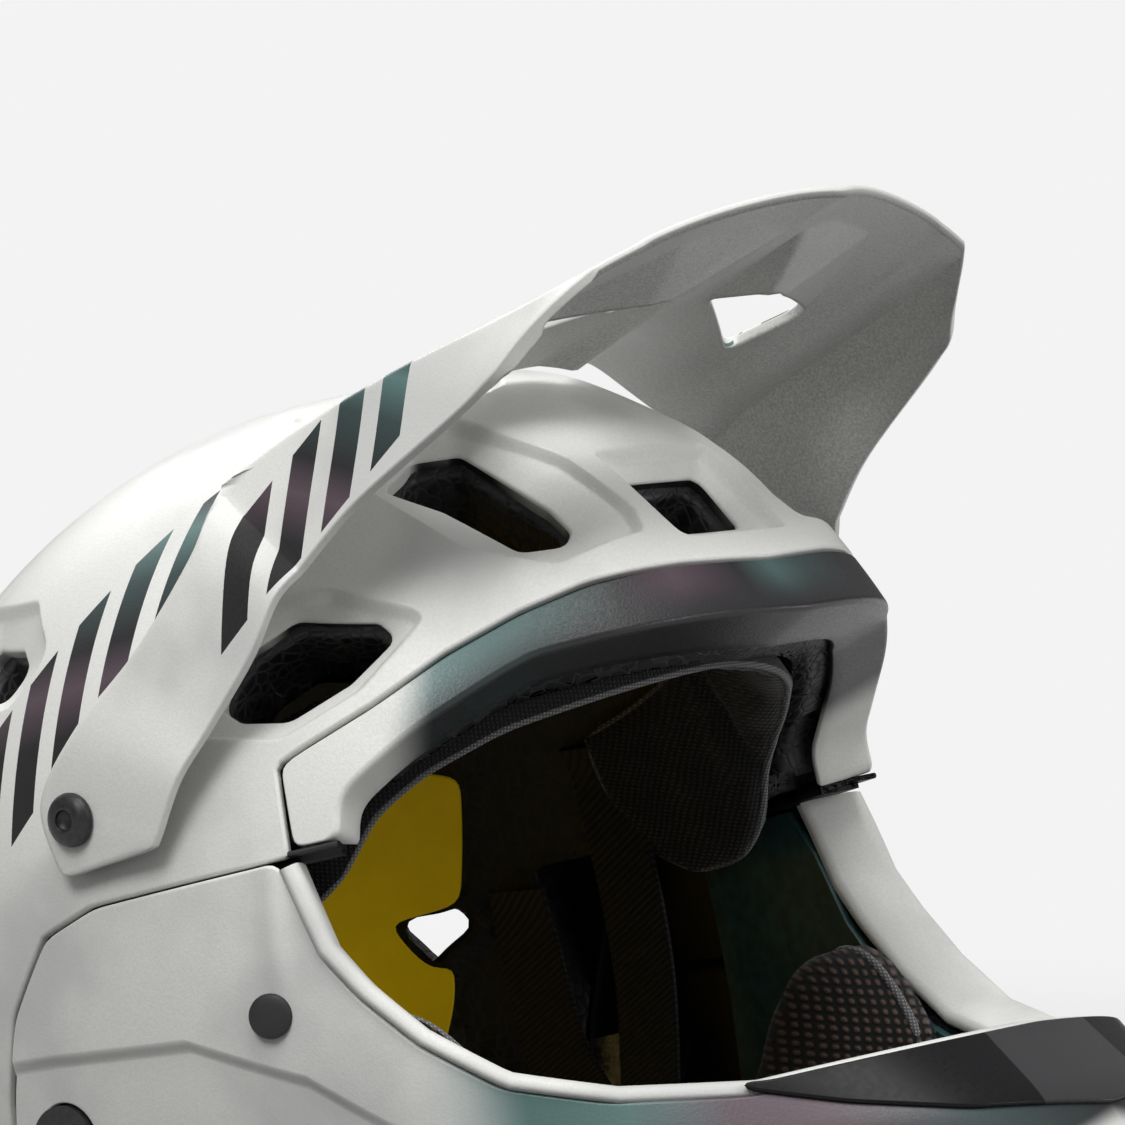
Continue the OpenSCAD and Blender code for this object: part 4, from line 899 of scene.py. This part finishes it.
# The energy foam: a thick bowl that follows the shell, open at each vent
def foam_edge(az):
    a = np.abs(az)
    front = lookup(a, [(0, 14.4), (50, 14.4), (51, 21.4), (55, 19.6), (57.2, 18), (58.4, 15.6), (59.2, 14.2)])
    front = np.maximum(lookup(a, BROW_EDGE) + 1.2, front)
    side = np.maximum(lookup(a, [(57, 14.4), (60, 13.4), (61, 13.0)]), shell_edge(a)) + 0.4
    rear = shell_edge(a) + lookup(a, [(109, 0.4), (117, 4.4), (180, 4.4)])
    return np.where(a <= 59.2, front, np.where(a <= 109, side, rear))


wall = quarter(2.2, 4) + [(0.2, 9), (0.6, 16), (1.6, 22)]
holes = []
for v in VENTS.values():
    spokes = v["hole"] - v["hole"].mean(0)
    shrunk = v["hole"].mean(0) + spokes * (1 - 1.0 / np.linalg.norm(spokes, axis=1, keepdims=True))
    loop = spread(shrunk, v)[::2]
    holes += [(l, wall) for l in (both([loop]) if v["middle"][0] else [loop])]
part = skin(lowered(dome_point, FOAM_TOP), polar, round_edge(foam_edge, 3.5), holes,
            dome_grid(4.5), 22, wall, inner_point=lowered(inside_dome, FOAM_BASE))
foam = place("foam_bowl", *part, "helmet", "foam_black", "foam_liner")


# The yellow low-friction liner, with a notch beside each ear
SLIP_SCALE = (1.9, 2.0)


def slip_low(az):
    return -9 - 6 * np.sin((np.abs(az) - 118) / 124 * math.pi)


def slip_high(az):
    return 30 + 10 * np.sin((np.abs(az) - 118) / 124 * math.pi)


def slip_plane(uv):
    return pair(uv[..., 0] % 360 - 180, uv[..., 1]) * SLIP_SCALE


az = np.linspace(117, 243, 200)
mirrored = np.where(az > 180, 360 - az, az)
low_line, high_line = pair(np.clip(az, 127, 233), slip_low(mirrored)), pair(az, slip_high(mirrored))
notch = np.array([(126, -3), (124.8, 2.6), (128, 2.2), (130.5, 5.4), (133, 10.1), (127.5, 10.6), (122, 11.2),
                  (119.5, 20)])
loop = np.vstack([low_line[20:-20], notch * (-1, 1) + (360, 0), high_line[::-1], notch[::-1]])
outline = smoothed(resample(loop * SLIP_SCALE, 2.5), 3) / SLIP_SCALE
grid = np.vstack([pair(np.arange(118, 242, 2.0), el) for el in np.arange(-15, 53, 1.8)])
part = skin(lowered(inside_dome, SLIP_TOP), slip_plane, outline, [], grid, THIN_WALL,
            edge_profile(THIN_WALL, 0.4, 0.4), inner_point=lowered(inside_dome, SLIP_BASE))
slip = place("slip_shell", *part, "helmet", "slip_yellow", "slip_liner")


# Soft pieces
def ripple(u, v, seed, size, deep):
    """A smooth random unevenness, in mm."""
    rng = np.random.default_rng(seed)
    out = np.zeros(np.shape(u))
    for _ in range(7):
        k = rng.normal(size=2) / size
        out = out + np.sin(u * k[0] * 6 + v * k[1] * 6 + rng.uniform(0, 6.28))
    return out * deep / 4


def below(point, u, v, depth):
    """Points at a depth under a form, straight along its own thickness."""
    top = point(u, v, 0.0)
    return top + (point(u, v, -10.0) - top) * (depth[..., None] / 10.0)


def padding(outer, inner, cells, border):
    """A closed pad from an outer and an inner sheet of points. border is the line of points round both."""
    n = outer.size // 3
    side = np.stack([border, np.roll(border, -1), np.roll(border, -1) + n, border + n], -1)
    verts = np.vstack([outer.reshape(-1, 3), inner.reshape(-1, 3)])
    return verts, cells.tolist() + (cells[:, ::-1] + n).tolist() + side.tolist()


def pillow(point, low, high, first, last, out, depth, du, dv, seed, edge=0.28, seams=()):
    """A pad between two edges: flat behind, full in front and drawn in to a rounded rim. Returns its mesh and
    the line of its rim. du and dv are millimetres per unit of u and v, and a seam is (place, width, amount)."""
    nu, nv = int((last - first) * du / 2.6), 26
    even = np.linspace(0, 1, nu)
    a, v = np.meshgrid(first + (last - first) * ((1 - np.cos(even * math.pi)) / 4 + even / 2),
                       (1 - np.cos(np.linspace(0, math.pi, nv))) / 2, indexing="ij")
    z = low(a) + (high(a) - low(a)) * v
    u = (a - first) / (last - first)
    full = (np.maximum(0, 1 - np.abs(2 * u - 1) ** 5) * np.maximum(0, 1 - np.abs(2 * v - 1) ** 3.2)) ** 0.5
    for at, width, amount in seams:
        full = full * (1 - amount * bell((u - at) / width))
    d = depth * (edge + (1 - edge) * full) - 0.35 * full + ripple(a * du, z * dv, seed, 14, 0.8) * full
    d = np.minimum(d, depth - 0.15)
    number = np.arange(nu * nv).reshape(nu, nv)
    border = np.concatenate([number[0], number[1:, -1], number[-1, -2::-1], number[-2:0:-1, 0]])
    verts, faces = padding(point(a, z, out), below(point, a, z, d - out), quads(nu, nv), border)
    return verts, faces, 0.62 * verts[border + nu * nv] + 0.38 * verts[border]


def soft(name, verts, faces, body, *nodes, fill=0.6):
    """A padded piece made of plain verts and faces, with its normals facing out."""
    ob = make_mesh(name, verts, faces)
    bm = bmesh.new()
    bm.from_mesh(ob.data)
    bmesh.ops.delete(bm, geom=[v for v in bm.verts if not v.link_faces], context="VERTS")
    bmesh.ops.recalc_face_normals(bm, faces=bm.faces)
    bm.to_mesh(ob.data)
    bm.free()
    assign(ob, body, nodes)
    return ob


def piping(name, line, radius, body):
    """A round cord along a closed line."""
    path = smoothed(resample(line, 2.6), 3)
    t = unit(np.roll(path, -1, 0) - np.roll(path, 1, 0))
    side = unit(np.cross(t, np.array([0.13, 0.21, 0.97])))
    a = np.linspace(0, 2 * math.pi, 8, endpoint=False)
    cord = sweep(path, side, np.cross(side, t), radius * pair(np.cos(a), np.sin(a)), True)
    return place(name, *cord, body, "pad_fabric")


# The brow pad
BROW_LOW = [(0, 26.5), (34, 25), (46, 22.5), (54, 19), (60, 12), (67, 8), (78, 8), (86, 13), (92, 25)]
BROW_HIGH = [(0, 36), (60, 37), (92, 32)]
SEAMS = [(0.21, 0.012, 0.5), (0.79, 0.012, 0.5), (0.4, 0.008, 0.35), (0.6, 0.008, 0.35)]
verts, faces, line = pillow(inside_dome, lambda a: lookup(np.abs(a), BROW_LOW),
                            lambda a: lookup(np.abs(a), BROW_HIGH),
                            -91, 91, -PAD_TOP, 7, 1.7, 2.0, 11, seams=SEAMS)
brow_soft = soft("brow_cushion", verts, faces, "helmet", "brow_pad", fill=0.55)
brow_piping = piping("brow_piping", line, 0.9, "helmet")

# The cheek pads
CHEEK_LOW = [(50, -83), (70, -79), (103.5, -66)]
CHEEK_HIGH = [(45, -40), (48, -28), (52, -18), (56, -14), (60, -14), (64, -20), (68, -34), (72, -43), (78, -47),
              (103.5, -42)]
verts, faces, line = pillow(inside_bar, lambda a: lookup(a, CHEEK_LOW), lambda a: lookup(a, CHEEK_HIGH),
                            45.5, 103.5, -17.6, 21.6, 1.6, 1.0, 23, seams=[(0.45, 0.02, 0.25)])
cheek_right = soft("cheek_cushion_right", verts, faces, "chin_bar", "cheek_pad_right")
cheek_left = soft("cheek_cushion_left", verts * MIRROR, faces, "chin_bar", "cheek_pad_left")
pipe_right = piping("cheek_piping_right", line, 1.1, "chin_bar")
pipe_left = piping("cheek_piping_left", line * MIRROR, 1.1, "chin_bar")

# The chin pad
verts, faces, line = pillow(inside_bar, lambda a: -99 + 6 * (np.abs(a) / 24) ** 4,
                            lambda a: -62.5 - 6 * (np.abs(a) / 24) ** 4,
                            -24, 24, -18.5, 6.9, 3.0, 1.0, 31, edge=0.2)
chin_soft = soft("chin_cushion", verts, faces, "chin_bar", "chin_pad")

# The crown pad: a soft star of lobes, as rings of (azimuth, elevation)
az = np.linspace(-180, 180, 145)[:-1]
up = np.linspace(0, 1, 14)[:, None]
low = 62 - 7 * np.cos(4 * az * D)
el = low + (89.9 - low) * up
full = np.sqrt(np.clip(1 - (1 - up) ** 6, 0, 1)) * (0.86 + 0.14 * np.abs(np.sin(2 * az * D)))
depth = PAD_TOP + 6.8 * (0.3 + 0.7 * full)
count, last = len(az), el.size - len(az)
az = az + 0 * el
verts, faces = padding(inside_dome(az, el, -0.4 - PAD_TOP), below(inside_dome, az, el, depth),
                       quads(len(up), count, False, True), np.arange(count))
faces += [list(range(last, last + count)), list(range(last + el.size, last + el.size + count))[::-1]]
crown = soft("crown_cushion", verts, faces, "helmet", "crown_pad", fill=0.5)


# The straps: flat webbing with rounded edges
def webbing(points, width=18.0, thick=1.5):
    path = resample(spline(points, 24), 2.2, False)
    t = unit(np.gradient(path, axis=0))
    side = unit(np.cross(np.array([1, 0, 0.35]), t))
    w, h = width / 2, thick / 2
    half = [(w - 0.5, -h), (w, -h * 0.3), (w, h * 0.3), (w - 0.5, h)]
    return sweep(path, side, np.cross(t, side), half + [(-a, b) for a, b in half[::-1]])


JOIN, END = np.array([-61, -4, -58.0]), np.array([-28, -50, -86.0])
ROUTES = [[inside_dome(91, 31, -SLIP_BASE), inside_dome(91, 23, -SLIP_BASE), (-77, -2, -10), JOIN],
          [inside_dome(112, 12, -31.5), inside_dome(112, 2, -31.5), (-73, 24, -28), JOIN + (0, 3, 0)],
          [JOIN + (0, 0, 3), JOIN + (4, -4, -8), (-46, -26, -79), END + (-3, 1, 0.6), END]]
strap = joined([webbing(route) for route in ROUTES])
strap_right = place("webbing_right", *strap, "helmet", "webbing_black", "strap_right")
strap_left = place("webbing_left", *flipped(strap), "helmet", "webbing_black", "strap_left")

# The heads of the peak screws, turned, with a socket
head = [(0, 3.0), (0, 5.7), (0.25, 6.1), (0.9, 6.15)]
head += [(0.9 + 2.4 * math.sin(t), 2.6 + 3.5 * math.cos(t)) for t in np.linspace(0.12, 1.42, 9)]
head += [(3.35, 2.6), (3.2, 2.35), (1.6, 2.3), (1.5, 0.01)]
screws = []
for side, label in ((-1, "right"), (1, "left")):
    part = lathe([(EAR + 0.3 + a, b) for a, b in head], (0, *PIVOT), (side, 0, 0), 72)
    screws.append(place("screw_head_" + label, *part, "helmet", "dark_metal", "peak_screw_" + label))

# The round rubber plugs
middle = bar_point(*PLUG)
button = [(-2, 0.01), (-2, 3.3), (-0.2, 3.3), (0.25, 4.6), (0.45, 5.0), (1.0, 5.1), (1.6, 4.8), (1.95, 4.1),
          (2.15, 2.6), (2.2, 0.01)]
plug = lathe(button, middle, bar_point(*PLUG, 1.0) - middle, 56)
plug_right = place("rubber_plug_right", *plug, "chin_bar", "black_rubber", "plug_right")
plug_left = place("rubber_plug_left", *flipped(plug), "chin_bar", "black_rubber", "plug_left")

# The pad on the chin strap: a small cushion with two sewn channels, flat where it lies on the buckle
u, v = np.meshgrid(np.linspace(-1, 1, 41), np.linspace(-1, 1, 21), indexing="ij")
x = 28.0 * u * np.sqrt(1 - 0.22 * v ** 2) * (1 - 0.04 * (1 - v ** 2))
y = 13.0 * v * np.sqrt(1 - 0.3 * u ** 2) * (1 - 0.07 * (1 - u ** 2))
full = np.sqrt((1 - u ** 4) * (1 - v ** 4))
height = full * (3.0 - 1.5 * (bell((u - 0.36) / 0.05) + bell((u + 0.36) / 0.05)))
at = np.array([0, -50, -79.5])
top = at + np.stack([x, y, height], -1).reshape(-1, 3)
under = at + np.stack([x, y, -2.0 * full ** 0.5], -1).reshape(-1, 3)
cells = quads(*u.shape)[:, [0, 3, 2, 1]]
border = ((np.abs(u) > 0.999) | (np.abs(v) > 0.999)).ravel()
low = np.arange(u.size) + np.where(border, 0, u.size)
faces = cells.tolist() + low[cells[:, ::-1]].tolist()
strap_soft = soft("strap_cushion", np.vstack([top, under]), faces, "helmet", "chin_strap_pad", fill=0.5)


# Materials: a Wire is a value that travels between the nodes of the tree that is being built
class Wire:
    def __init__(self, socket):
        self.socket = socket

    def __add__(self, other):
        return calc("ADD", self, other)

    def __sub__(self, other):
        return calc("SUBTRACT", self, other)

    def __mul__(self, other):
        return calc("MULTIPLY", self, other)

    def __gt__(self, other):
        return calc("GREATER_THAN", self, other)

    def __lt__(self, other):
        return calc("LESS_THAN", self, other)

    def __abs__(self):
        return calc("ABSOLUTE", self)


def put(socket, x):
    if isinstance(x, Wire):
        tree.links.new(x.socket, socket)
    else:
        socket.default_value = (*x, 1.0) if socket.type == "RGBA" else x


def node(kind, inputs=(), output=0, **settings):
    """A shader node, as the wire from one of its outputs."""
    made = tree.nodes.new("ShaderNode" + kind)
    for key, x in settings.items():
        setattr(made, key, x)
    for key, x in dict(inputs).items():
        put(made.inputs[key], x)
    return Wire(made.outputs[output])


def calc(operation, a, b=0.0):
    return node("Math", {0: a, 1: b}, operation=operation)


def slope(x, low, high, a=0.0, b=1.0):
    """A smooth change from a to b while x goes from low to high."""
    return node("MapRange", {"Value": x, "From Min": low, "From Max": high, "To Min": a, "To Max": b},
                interpolation_type="SMOOTHSTEP")


def mix(factor, a, b):
    return node("Mix", {0: factor, 6: a, 7: b}, 2, data_type="RGBA")


def ramp(x, stops):
    wire = node("ValToRGB", {0: x})
    elements = wire.socket.node.color_ramp.elements
    while len(elements) < len(stops):
        elements.new(0.5)
    for element, (at, colour) in zip(elements, stops):
        element.position, element.color = at, (*colour, 1)
    return wire


def noise(where, scale, detail=2.0, rough=0.5):
    return node("TexNoise", {"Vector": where, "Scale": scale, "Detail": detail, "Roughness": rough})


def wave(where, scale, direction, **more):
    return node("TexWave", {"Vector": where, "Scale": scale, **more}, bands_direction=direction)


def noted(name):
    return node("Attribute", attribute_name=name, output="Fac")


def bump(height, distance, strength=1.0):
    return node("Bump", {"Height": height, "Distance": distance, "Strength": strength})


def material(name, build):
    """A material from a function that gives its shader's inputs from the object's coordinates."""
    global tree
    made = bpy.data.materials.new(name)
    made.use_nodes = True
    tree = made.node_tree
    for key, x in build(node("TexCoord", output="Object")).items():
        put(tree.nodes["Principled BSDF"].inputs[key], x)
    return made


TEAL, DEEP, PLUM, INK = (0.105, 0.2, 0.19), (0.035, 0.06, 0.06), (0.1, 0.066, 0.085), (0.012, 0.012, 0.013)
BLACK = (0.01, 0.01, 0.01)


# The white paint, with smoky patches and a fine grain
def white(p):
    smoke = slope(noise(p, 15, 4.0, 0.5), 0.47, 0.64)
    grain = noise(p, 1500, 2.0, 0.7)
    base = mix(smoke * 0.8, (0.87, 0.87, 0.835), (0.62, 0.63, 0.605))
    return mix(slope(grain, 0.3, 0.7, 0.0, 0.2), base, (0.55, 0.55, 0.53)), grain


def satin(colour, grain, rough=0.4, lined=False):
    """A satin finish. A lined piece is black inside."""
    if lined:
        colour = mix(slope(noted("face"), -0.1, -0.25), colour, BLACK)
    return {"Base Color": colour, "Roughness": slope(grain, 0.3, 0.7, rough - 0.06, rough + 0.08),
            "Specular IOR Level": 0.5, "Coat Weight": 0.12, "Coat Roughness": 0.3,
            "Normal": bump(grain, 0.00006)}


def pearl(p):
    return satin(*white(p))


# The pattern of slanted bars: how its row turns, the bars' spacing and width, and their slant
BARS_TURN, PITCH, BAR_WIDE, SLANT = 39 * D, 17.0, 10.0, -0.95


def with_bars(base, p, ahead_from, up_from, length, tall):
    """A colour with a row of parallel slanted bars on both sides. Their own colours shift along the row."""
    side, y, z = [node("SeparateXYZ", {0: p}, output) * 1000 for output in range(3)]
    y, z = y - BACK, z - RISE
    dx, dz = z * LEAN_SIN - y * LEAN_COS - ahead_from, y * LEAN_SIN + z * LEAN_COS - up_from
    along = dx * math.cos(BARS_TURN) + dz * math.sin(BARS_TURN)
    across = dz * math.cos(BARS_TURN) - dx * math.sin(BARS_TURN)
    row = across * SLANT + along
    mask = calc("PINGPONG", row, PITCH / 2) > (PITCH - BAR_WIDE) / 2
    for test in (abs(across) < tall, abs(row - length / 2) < length / 2, abs(side) > 42, noted("face") > 0.2):
        mask = mask * test
    stops = [(0.0, INK), (0.25, INK), (0.42, PLUM), (0.55, INK), (0.75, DEEP), (0.9, TEAL), (1.0, INK)]
    return mix(mask, base, ramp(across * 0.022 + row * (1 / length), stops))


def shell_paint(p):
    """White with bars, and a black edge where the shell meets the pillar."""
    base, grain = white(p)
    az = abs(noted("az"))
    edge = slope(az, 111, 112) * slope(az, 120, 119) * slope(noted("rise"), 22, 20)
    edge = edge * slope(noted("face"), 0.6, 0.3)
    return satin(mix(edge, with_bars(base, p, -38, 47, 102, 13.0), BLACK), grain, 0.4, True)


def peak_paint(p):
    """White with bars, and painted shade below: the underside is the same white, darkened to grey."""
    base, grain = white(p)
    # Painted shade: faces that look down get a darker grey in place of the white paint.
    grey = mix(slope(grain, 0.3, 0.7), (0.44, 0.44, 0.43), (0.66, 0.66, 0.64))
    base = mix(slope(noted("face"), 0.1, -0.3), base, grey)
    return satin(with_bars(base, p, 47, 84, 68, 11.0), grain)


def bar_paint(p):
    """White at the sides and a shifting tint at the front."""
    base, grain = white(p)
    az, rise = abs(noted("az")), noted("rise")
    fade = slope(az, 55, 44) * slope(az * 1.1 + rise, -83, -82) * slope(az * 0.75 + rise, -72, -66)
    tint = ramp(az * (1 / 60), [(0.0, INK), (0.2, DEEP), (0.36, PLUM), (0.47, PLUM), (0.6, TEAL), (0.74, TEAL),
                                (0.86, (0.3, 0.42, 0.4))])
    return satin(mix(fade, base, tint), grain, 0.4, True)


def trim_paint(p):
    """A shifting tint over the eyeport, dark at its edge, and white at the sides."""
    base, grain = white(p)
    az, below_seam = noted("az"), noted("below")
    dark = (0.02, 0.019, 0.021)
    tint = ramp(az * (1 / 130) + 0.5, [
        (0.14, dark), (0.4, INK), (0.47, DEEP), (0.51, (0.07, 0.13, 0.125)), (0.55, dark), (0.615, PLUM),
        (0.67, dark), (0.76, (0.08, 0.15, 0.143)), (0.83, TEAL)])
    tint = mix(slope(below_seam, 1.0, 6.0), tint, dark)
    side = slope(below_seam * -0.5 + abs(az), 42, 49)
    return {**satin(mix(side, tint, base), grain, 0.36), "Coat Weight": 0.0, "Specular IOR Level": 0.4}


def gloss(p):
    """Gloss black, a little lighter in the middle."""
    grain = noise(p, 900, 2.0)
    colour = mix(slope(abs(noted("az")), 6.4, 6.3), (0.009, 0.009, 0.01), (0.045, 0.045, 0.047))
    return {"Base Color": colour, "Roughness": slope(grain, 0.3, 0.7, 0.26, 0.34), "Specular IOR Level": 0.15}


def beads(p):
    """Black foam of pressed beads."""
    cells = {"Vector": p, "Scale": 290.0}
    lift = slope(node("TexVoronoi", cells, feature="DISTANCE_TO_EDGE"), 0.0, 0.16)
    base = mix(node("TexVoronoi", cells, "Color") * 0.35, (0.006, 0.006, 0.0065), (0.024, 0.024, 0.025))
    return {"Base Color": mix(lift, (0.026, 0.026, 0.026), base), "Roughness": slope(lift, 0, 1, 0.75, 0.5),
            "Normal": bump(lift, 0.0002, 0.8)}


def weave(p):
    """The straps' webbing."""
    ribs = wave(p, 260.0, "DIAGONAL", Distortion=0.3)
    colour = mix(ribs * noise(p, 400, 2.0), (0.004, 0.004, 0.0045), (0.018, 0.018, 0.019))
    return {"Base Color": colour, "Roughness": slope(ribs, 0, 1, 0.8, 0.6), "Normal": bump(ribs, 0.0003)}


def plain(colour, rough, metal, scale, deep=0.00003, spread=0.25, **more):
    """One colour with a slight grain."""
    def build(p):
        grain = noise(p, scale, 3.0, 0.6)
        dark, light = [tuple(c * k for c in colour) for k in (1 - spread, 1 + spread)]
        return {"Base Color": mix(slope(grain, 0.3, 0.7), dark, light), "Metallic": metal,
                "Roughness": slope(grain, 0.3, 0.7, rough - 0.05, rough + 0.07),
                "Normal": bump(grain, deep), **more}
    return build


def knit(colour, light, scale, deep=0.00025):
    """A knitted mesh: rows of small raised loops."""
    def build(p):
        wobble = {"Distortion": 0.6, "Detail": 1.0, "Detail Scale": 2.0}
        turned = node("Mapping", {"Vector": p, "Rotation": (0.0, 0.0, 0.6)})
        loops = wave(p, scale, "Z", **wobble) * wave(turned, scale, "X", **wobble)
        base = mix(slope(loops, 0.15, 0.7), colour, light)
        dust = slope(noise(p, 60, 3.0), 0.35, 0.75, 0, 0.35)
        return {"Base Color": mix(dust, base, colour), "Roughness": slope(loops, 0, 1, 0.95, 0.8),
                "Normal": bump(loops, deep), "Sheen Weight": 0.25, "Sheen Roughness": 0.4}
    return build


# Painted light: the yellow liner glows a little of its own, so that it reads brighter inside the helmet.
yellow_painted_glow = {"Emission Color": (0.8, 0.56, 0.002), "Emission Strength": 0.08}
LOOKS = {name: material(name, build) for name, build in {
    "pearl": pearl,
    "shell": shell_paint,
    "peak": peak_paint,
    "bar": bar_paint,
    "trim": trim_paint,
    "gloss_black": gloss,
    "foam_black": beads,
    "slip_yellow": plain((0.9, 0.6, 0.004), 0.42, 0.0, 60, 0.0, 0.06, **yellow_painted_glow),
    "pad_fabric": knit((0.004, 0.004, 0.0045), (0.026, 0.026, 0.028), 330),
    "chin_mesh": knit((0.004, 0.003, 0.003), (0.11, 0.065, 0.05), 150, 0.0005),
    "piping": knit((0.1, 0.1, 0.102), (0.34, 0.34, 0.345), 420, 0.0001),
    "webbing_black": weave,
    "black_rubber": plain((0.012, 0.012, 0.012), 0.6, 0.0, 500),
    "black_plastic": plain((0.016, 0.016, 0.017), 0.45, 0.0, 900),
    "steel": plain((0.5, 0.5, 0.5), 0.3, 1.0, 300),
    "dark_metal": plain((0.035, 0.035, 0.037), 0.42, 0.5, 900),
    "lining": plain((0.03, 0.085, 0.083), 0.4, 0.0, 300),
}.items()}


# What each piece wears. The solids that stay wear the look that their slot names.
for ob in bpy.data.objects:
    if ob.type == "MESH":
        for slot in ob.material_slots:
            name = slot.material.name.split(".")[0] if slot.material else ""
            slot.material = next((LOOKS[look] for look in LOOKS if look in name), slot.material)
for look, wearers in {
    "shell": [shell], "peak": [peak], "bar": [bar], "pearl": [rim], "trim": [trim], "gloss_black": [wedge],
    "black_rubber": [seal_right, seal_left, plug_right, plug_left], "foam_black": [foam], "slip_yellow": [slip],
    "pad_fabric": [brow_soft, cheek_right, cheek_left, crown, strap_soft], "chin_mesh": [chin_soft],
    "piping": [brow_piping, pipe_right, pipe_left], "webbing_black": [strap_right, strap_left],
    "dark_metal": screws, "lining": [bpy.data.objects["chin_bar_lining"]],
}.items():
    for ob in wearers:
        ob.data.materials.clear()
        ob.data.materials.append(LOOKS[look])
# The cheek pads have a mesh front
for ob in (cheek_right, cheek_left):
    ob.data.materials.append(LOOKS["chin_mesh"])
    az = ob.data.attributes["az"].data
    for face in ob.data.polygons:
        face.material_index = int(abs(az[face.vertices[0]].value) < 67)


# The floor fades into the backdrop where the camera sees it, and throws little light back up
PALE = (0.895, 0.895, 0.895)
mesh = bpy.data.meshes.new("floor")
mesh.from_pydata([(-9, -9, 0), (9, -9, 0), (9, 9, 0), (-9, 9, 0)], [], [(0, 1, 2, 3)])
floor = bpy.data.objects.new("floor", mesh)
bpy.context.scene.collection.objects.link(floor)


def ray(kind):
    return node("LightPath", output="Is " + kind + " Ray")


def glow(grey):
    return node("Emission", {"Color": (grey,) * 3, "Strength": 1.0})


def matte(p):
    return {"Base Color": (0.72, 0.72, 0.72), "Roughness": 1.0, "Specular IOR Level": 0.0}


mesh.materials.append(material("floor", matte))
distance = node("VectorMath", {0: node("TexCoord", output="Object")}, "Value", operation="LENGTH")
seen = calc("MINIMUM", ray("Camera") + ray("Glossy") + ray("Transmission"), 1.0)
surface = Wire(tree.nodes["Principled BSDF"].outputs[0])
surface = node("MixShader", {0: seen * slope(distance, 0.3, 0.8), 1: surface, 2: glow(PALE[0])})
surface = node("MixShader", {0: ray("Diffuse"), 1: surface, 2: glow(0.12)})
put(tree.nodes["Material Output"].inputs[0], surface)

# The backdrop: pale to the camera, and a soft grey sky to the helmet
studio = bpy.data.worlds.new("studio")
bpy.context.scene.world = studio
studio.use_nodes = True
tree = studio.node_tree
height = node("SeparateXYZ", {0: node("TexCoord", output="Generated")}, 2)
sky = mix(slope(height, -0.1, 0.9), (0.12, 0.12, 0.12), (0.44, 0.44, 0.445))
put(tree.nodes["Background"].inputs[0], mix(ray("Camera"), sky, PALE))
put(tree.nodes["Background"].inputs[1], 1.0)


# Lights and camera
def aimed(name, data, at, to):
    ob = bpy.data.objects.new(name, data)
    ob.location = at
    ob.rotation_euler = (Vector(to) - Vector(at)).to_track_quat("-Z", "Y").to_euler()
    bpy.context.scene.collection.objects.link(ob)
    return ob


for name, at, to, size, power in (("overhead", (-0.3, -0.5, 2.0), (0, 0, 0.15), 1.0, 19),
                                  ("front", (0.2, -2.2, 0.9), (0, -0.05, 0.15), 0.7, 9),
                                  ("side", (-1.5, -0.2, 1.6), (0, 0.0, 0.12), 0.8, 17),
                                  ("rim", (0.9, 1.6, 1.2), (0, 0, 0.18), 1.0, 8),
                                  ("low", (1.5, -1.5, 0.1), (0, -0.12, 0.24), 0.35, 5)):
    light = bpy.data.lights.new(name, "AREA")
    light.energy, light.size = power, size
    aimed(name, light, at, to)

camera = bpy.data.cameras.new("camera")
camera.type, camera.sensor_width, camera.lens = "PERSP", 36.0, 371.2
camera.clip_start, camera.clip_end = 0.1, 30
bpy.context.scene.camera = aimed("camera", camera, (-2.0820, -1.6374, 0.3800), (0, -0.0107, 0.1758))
bpy.context.scene.view_settings.view_transform = "Standard"
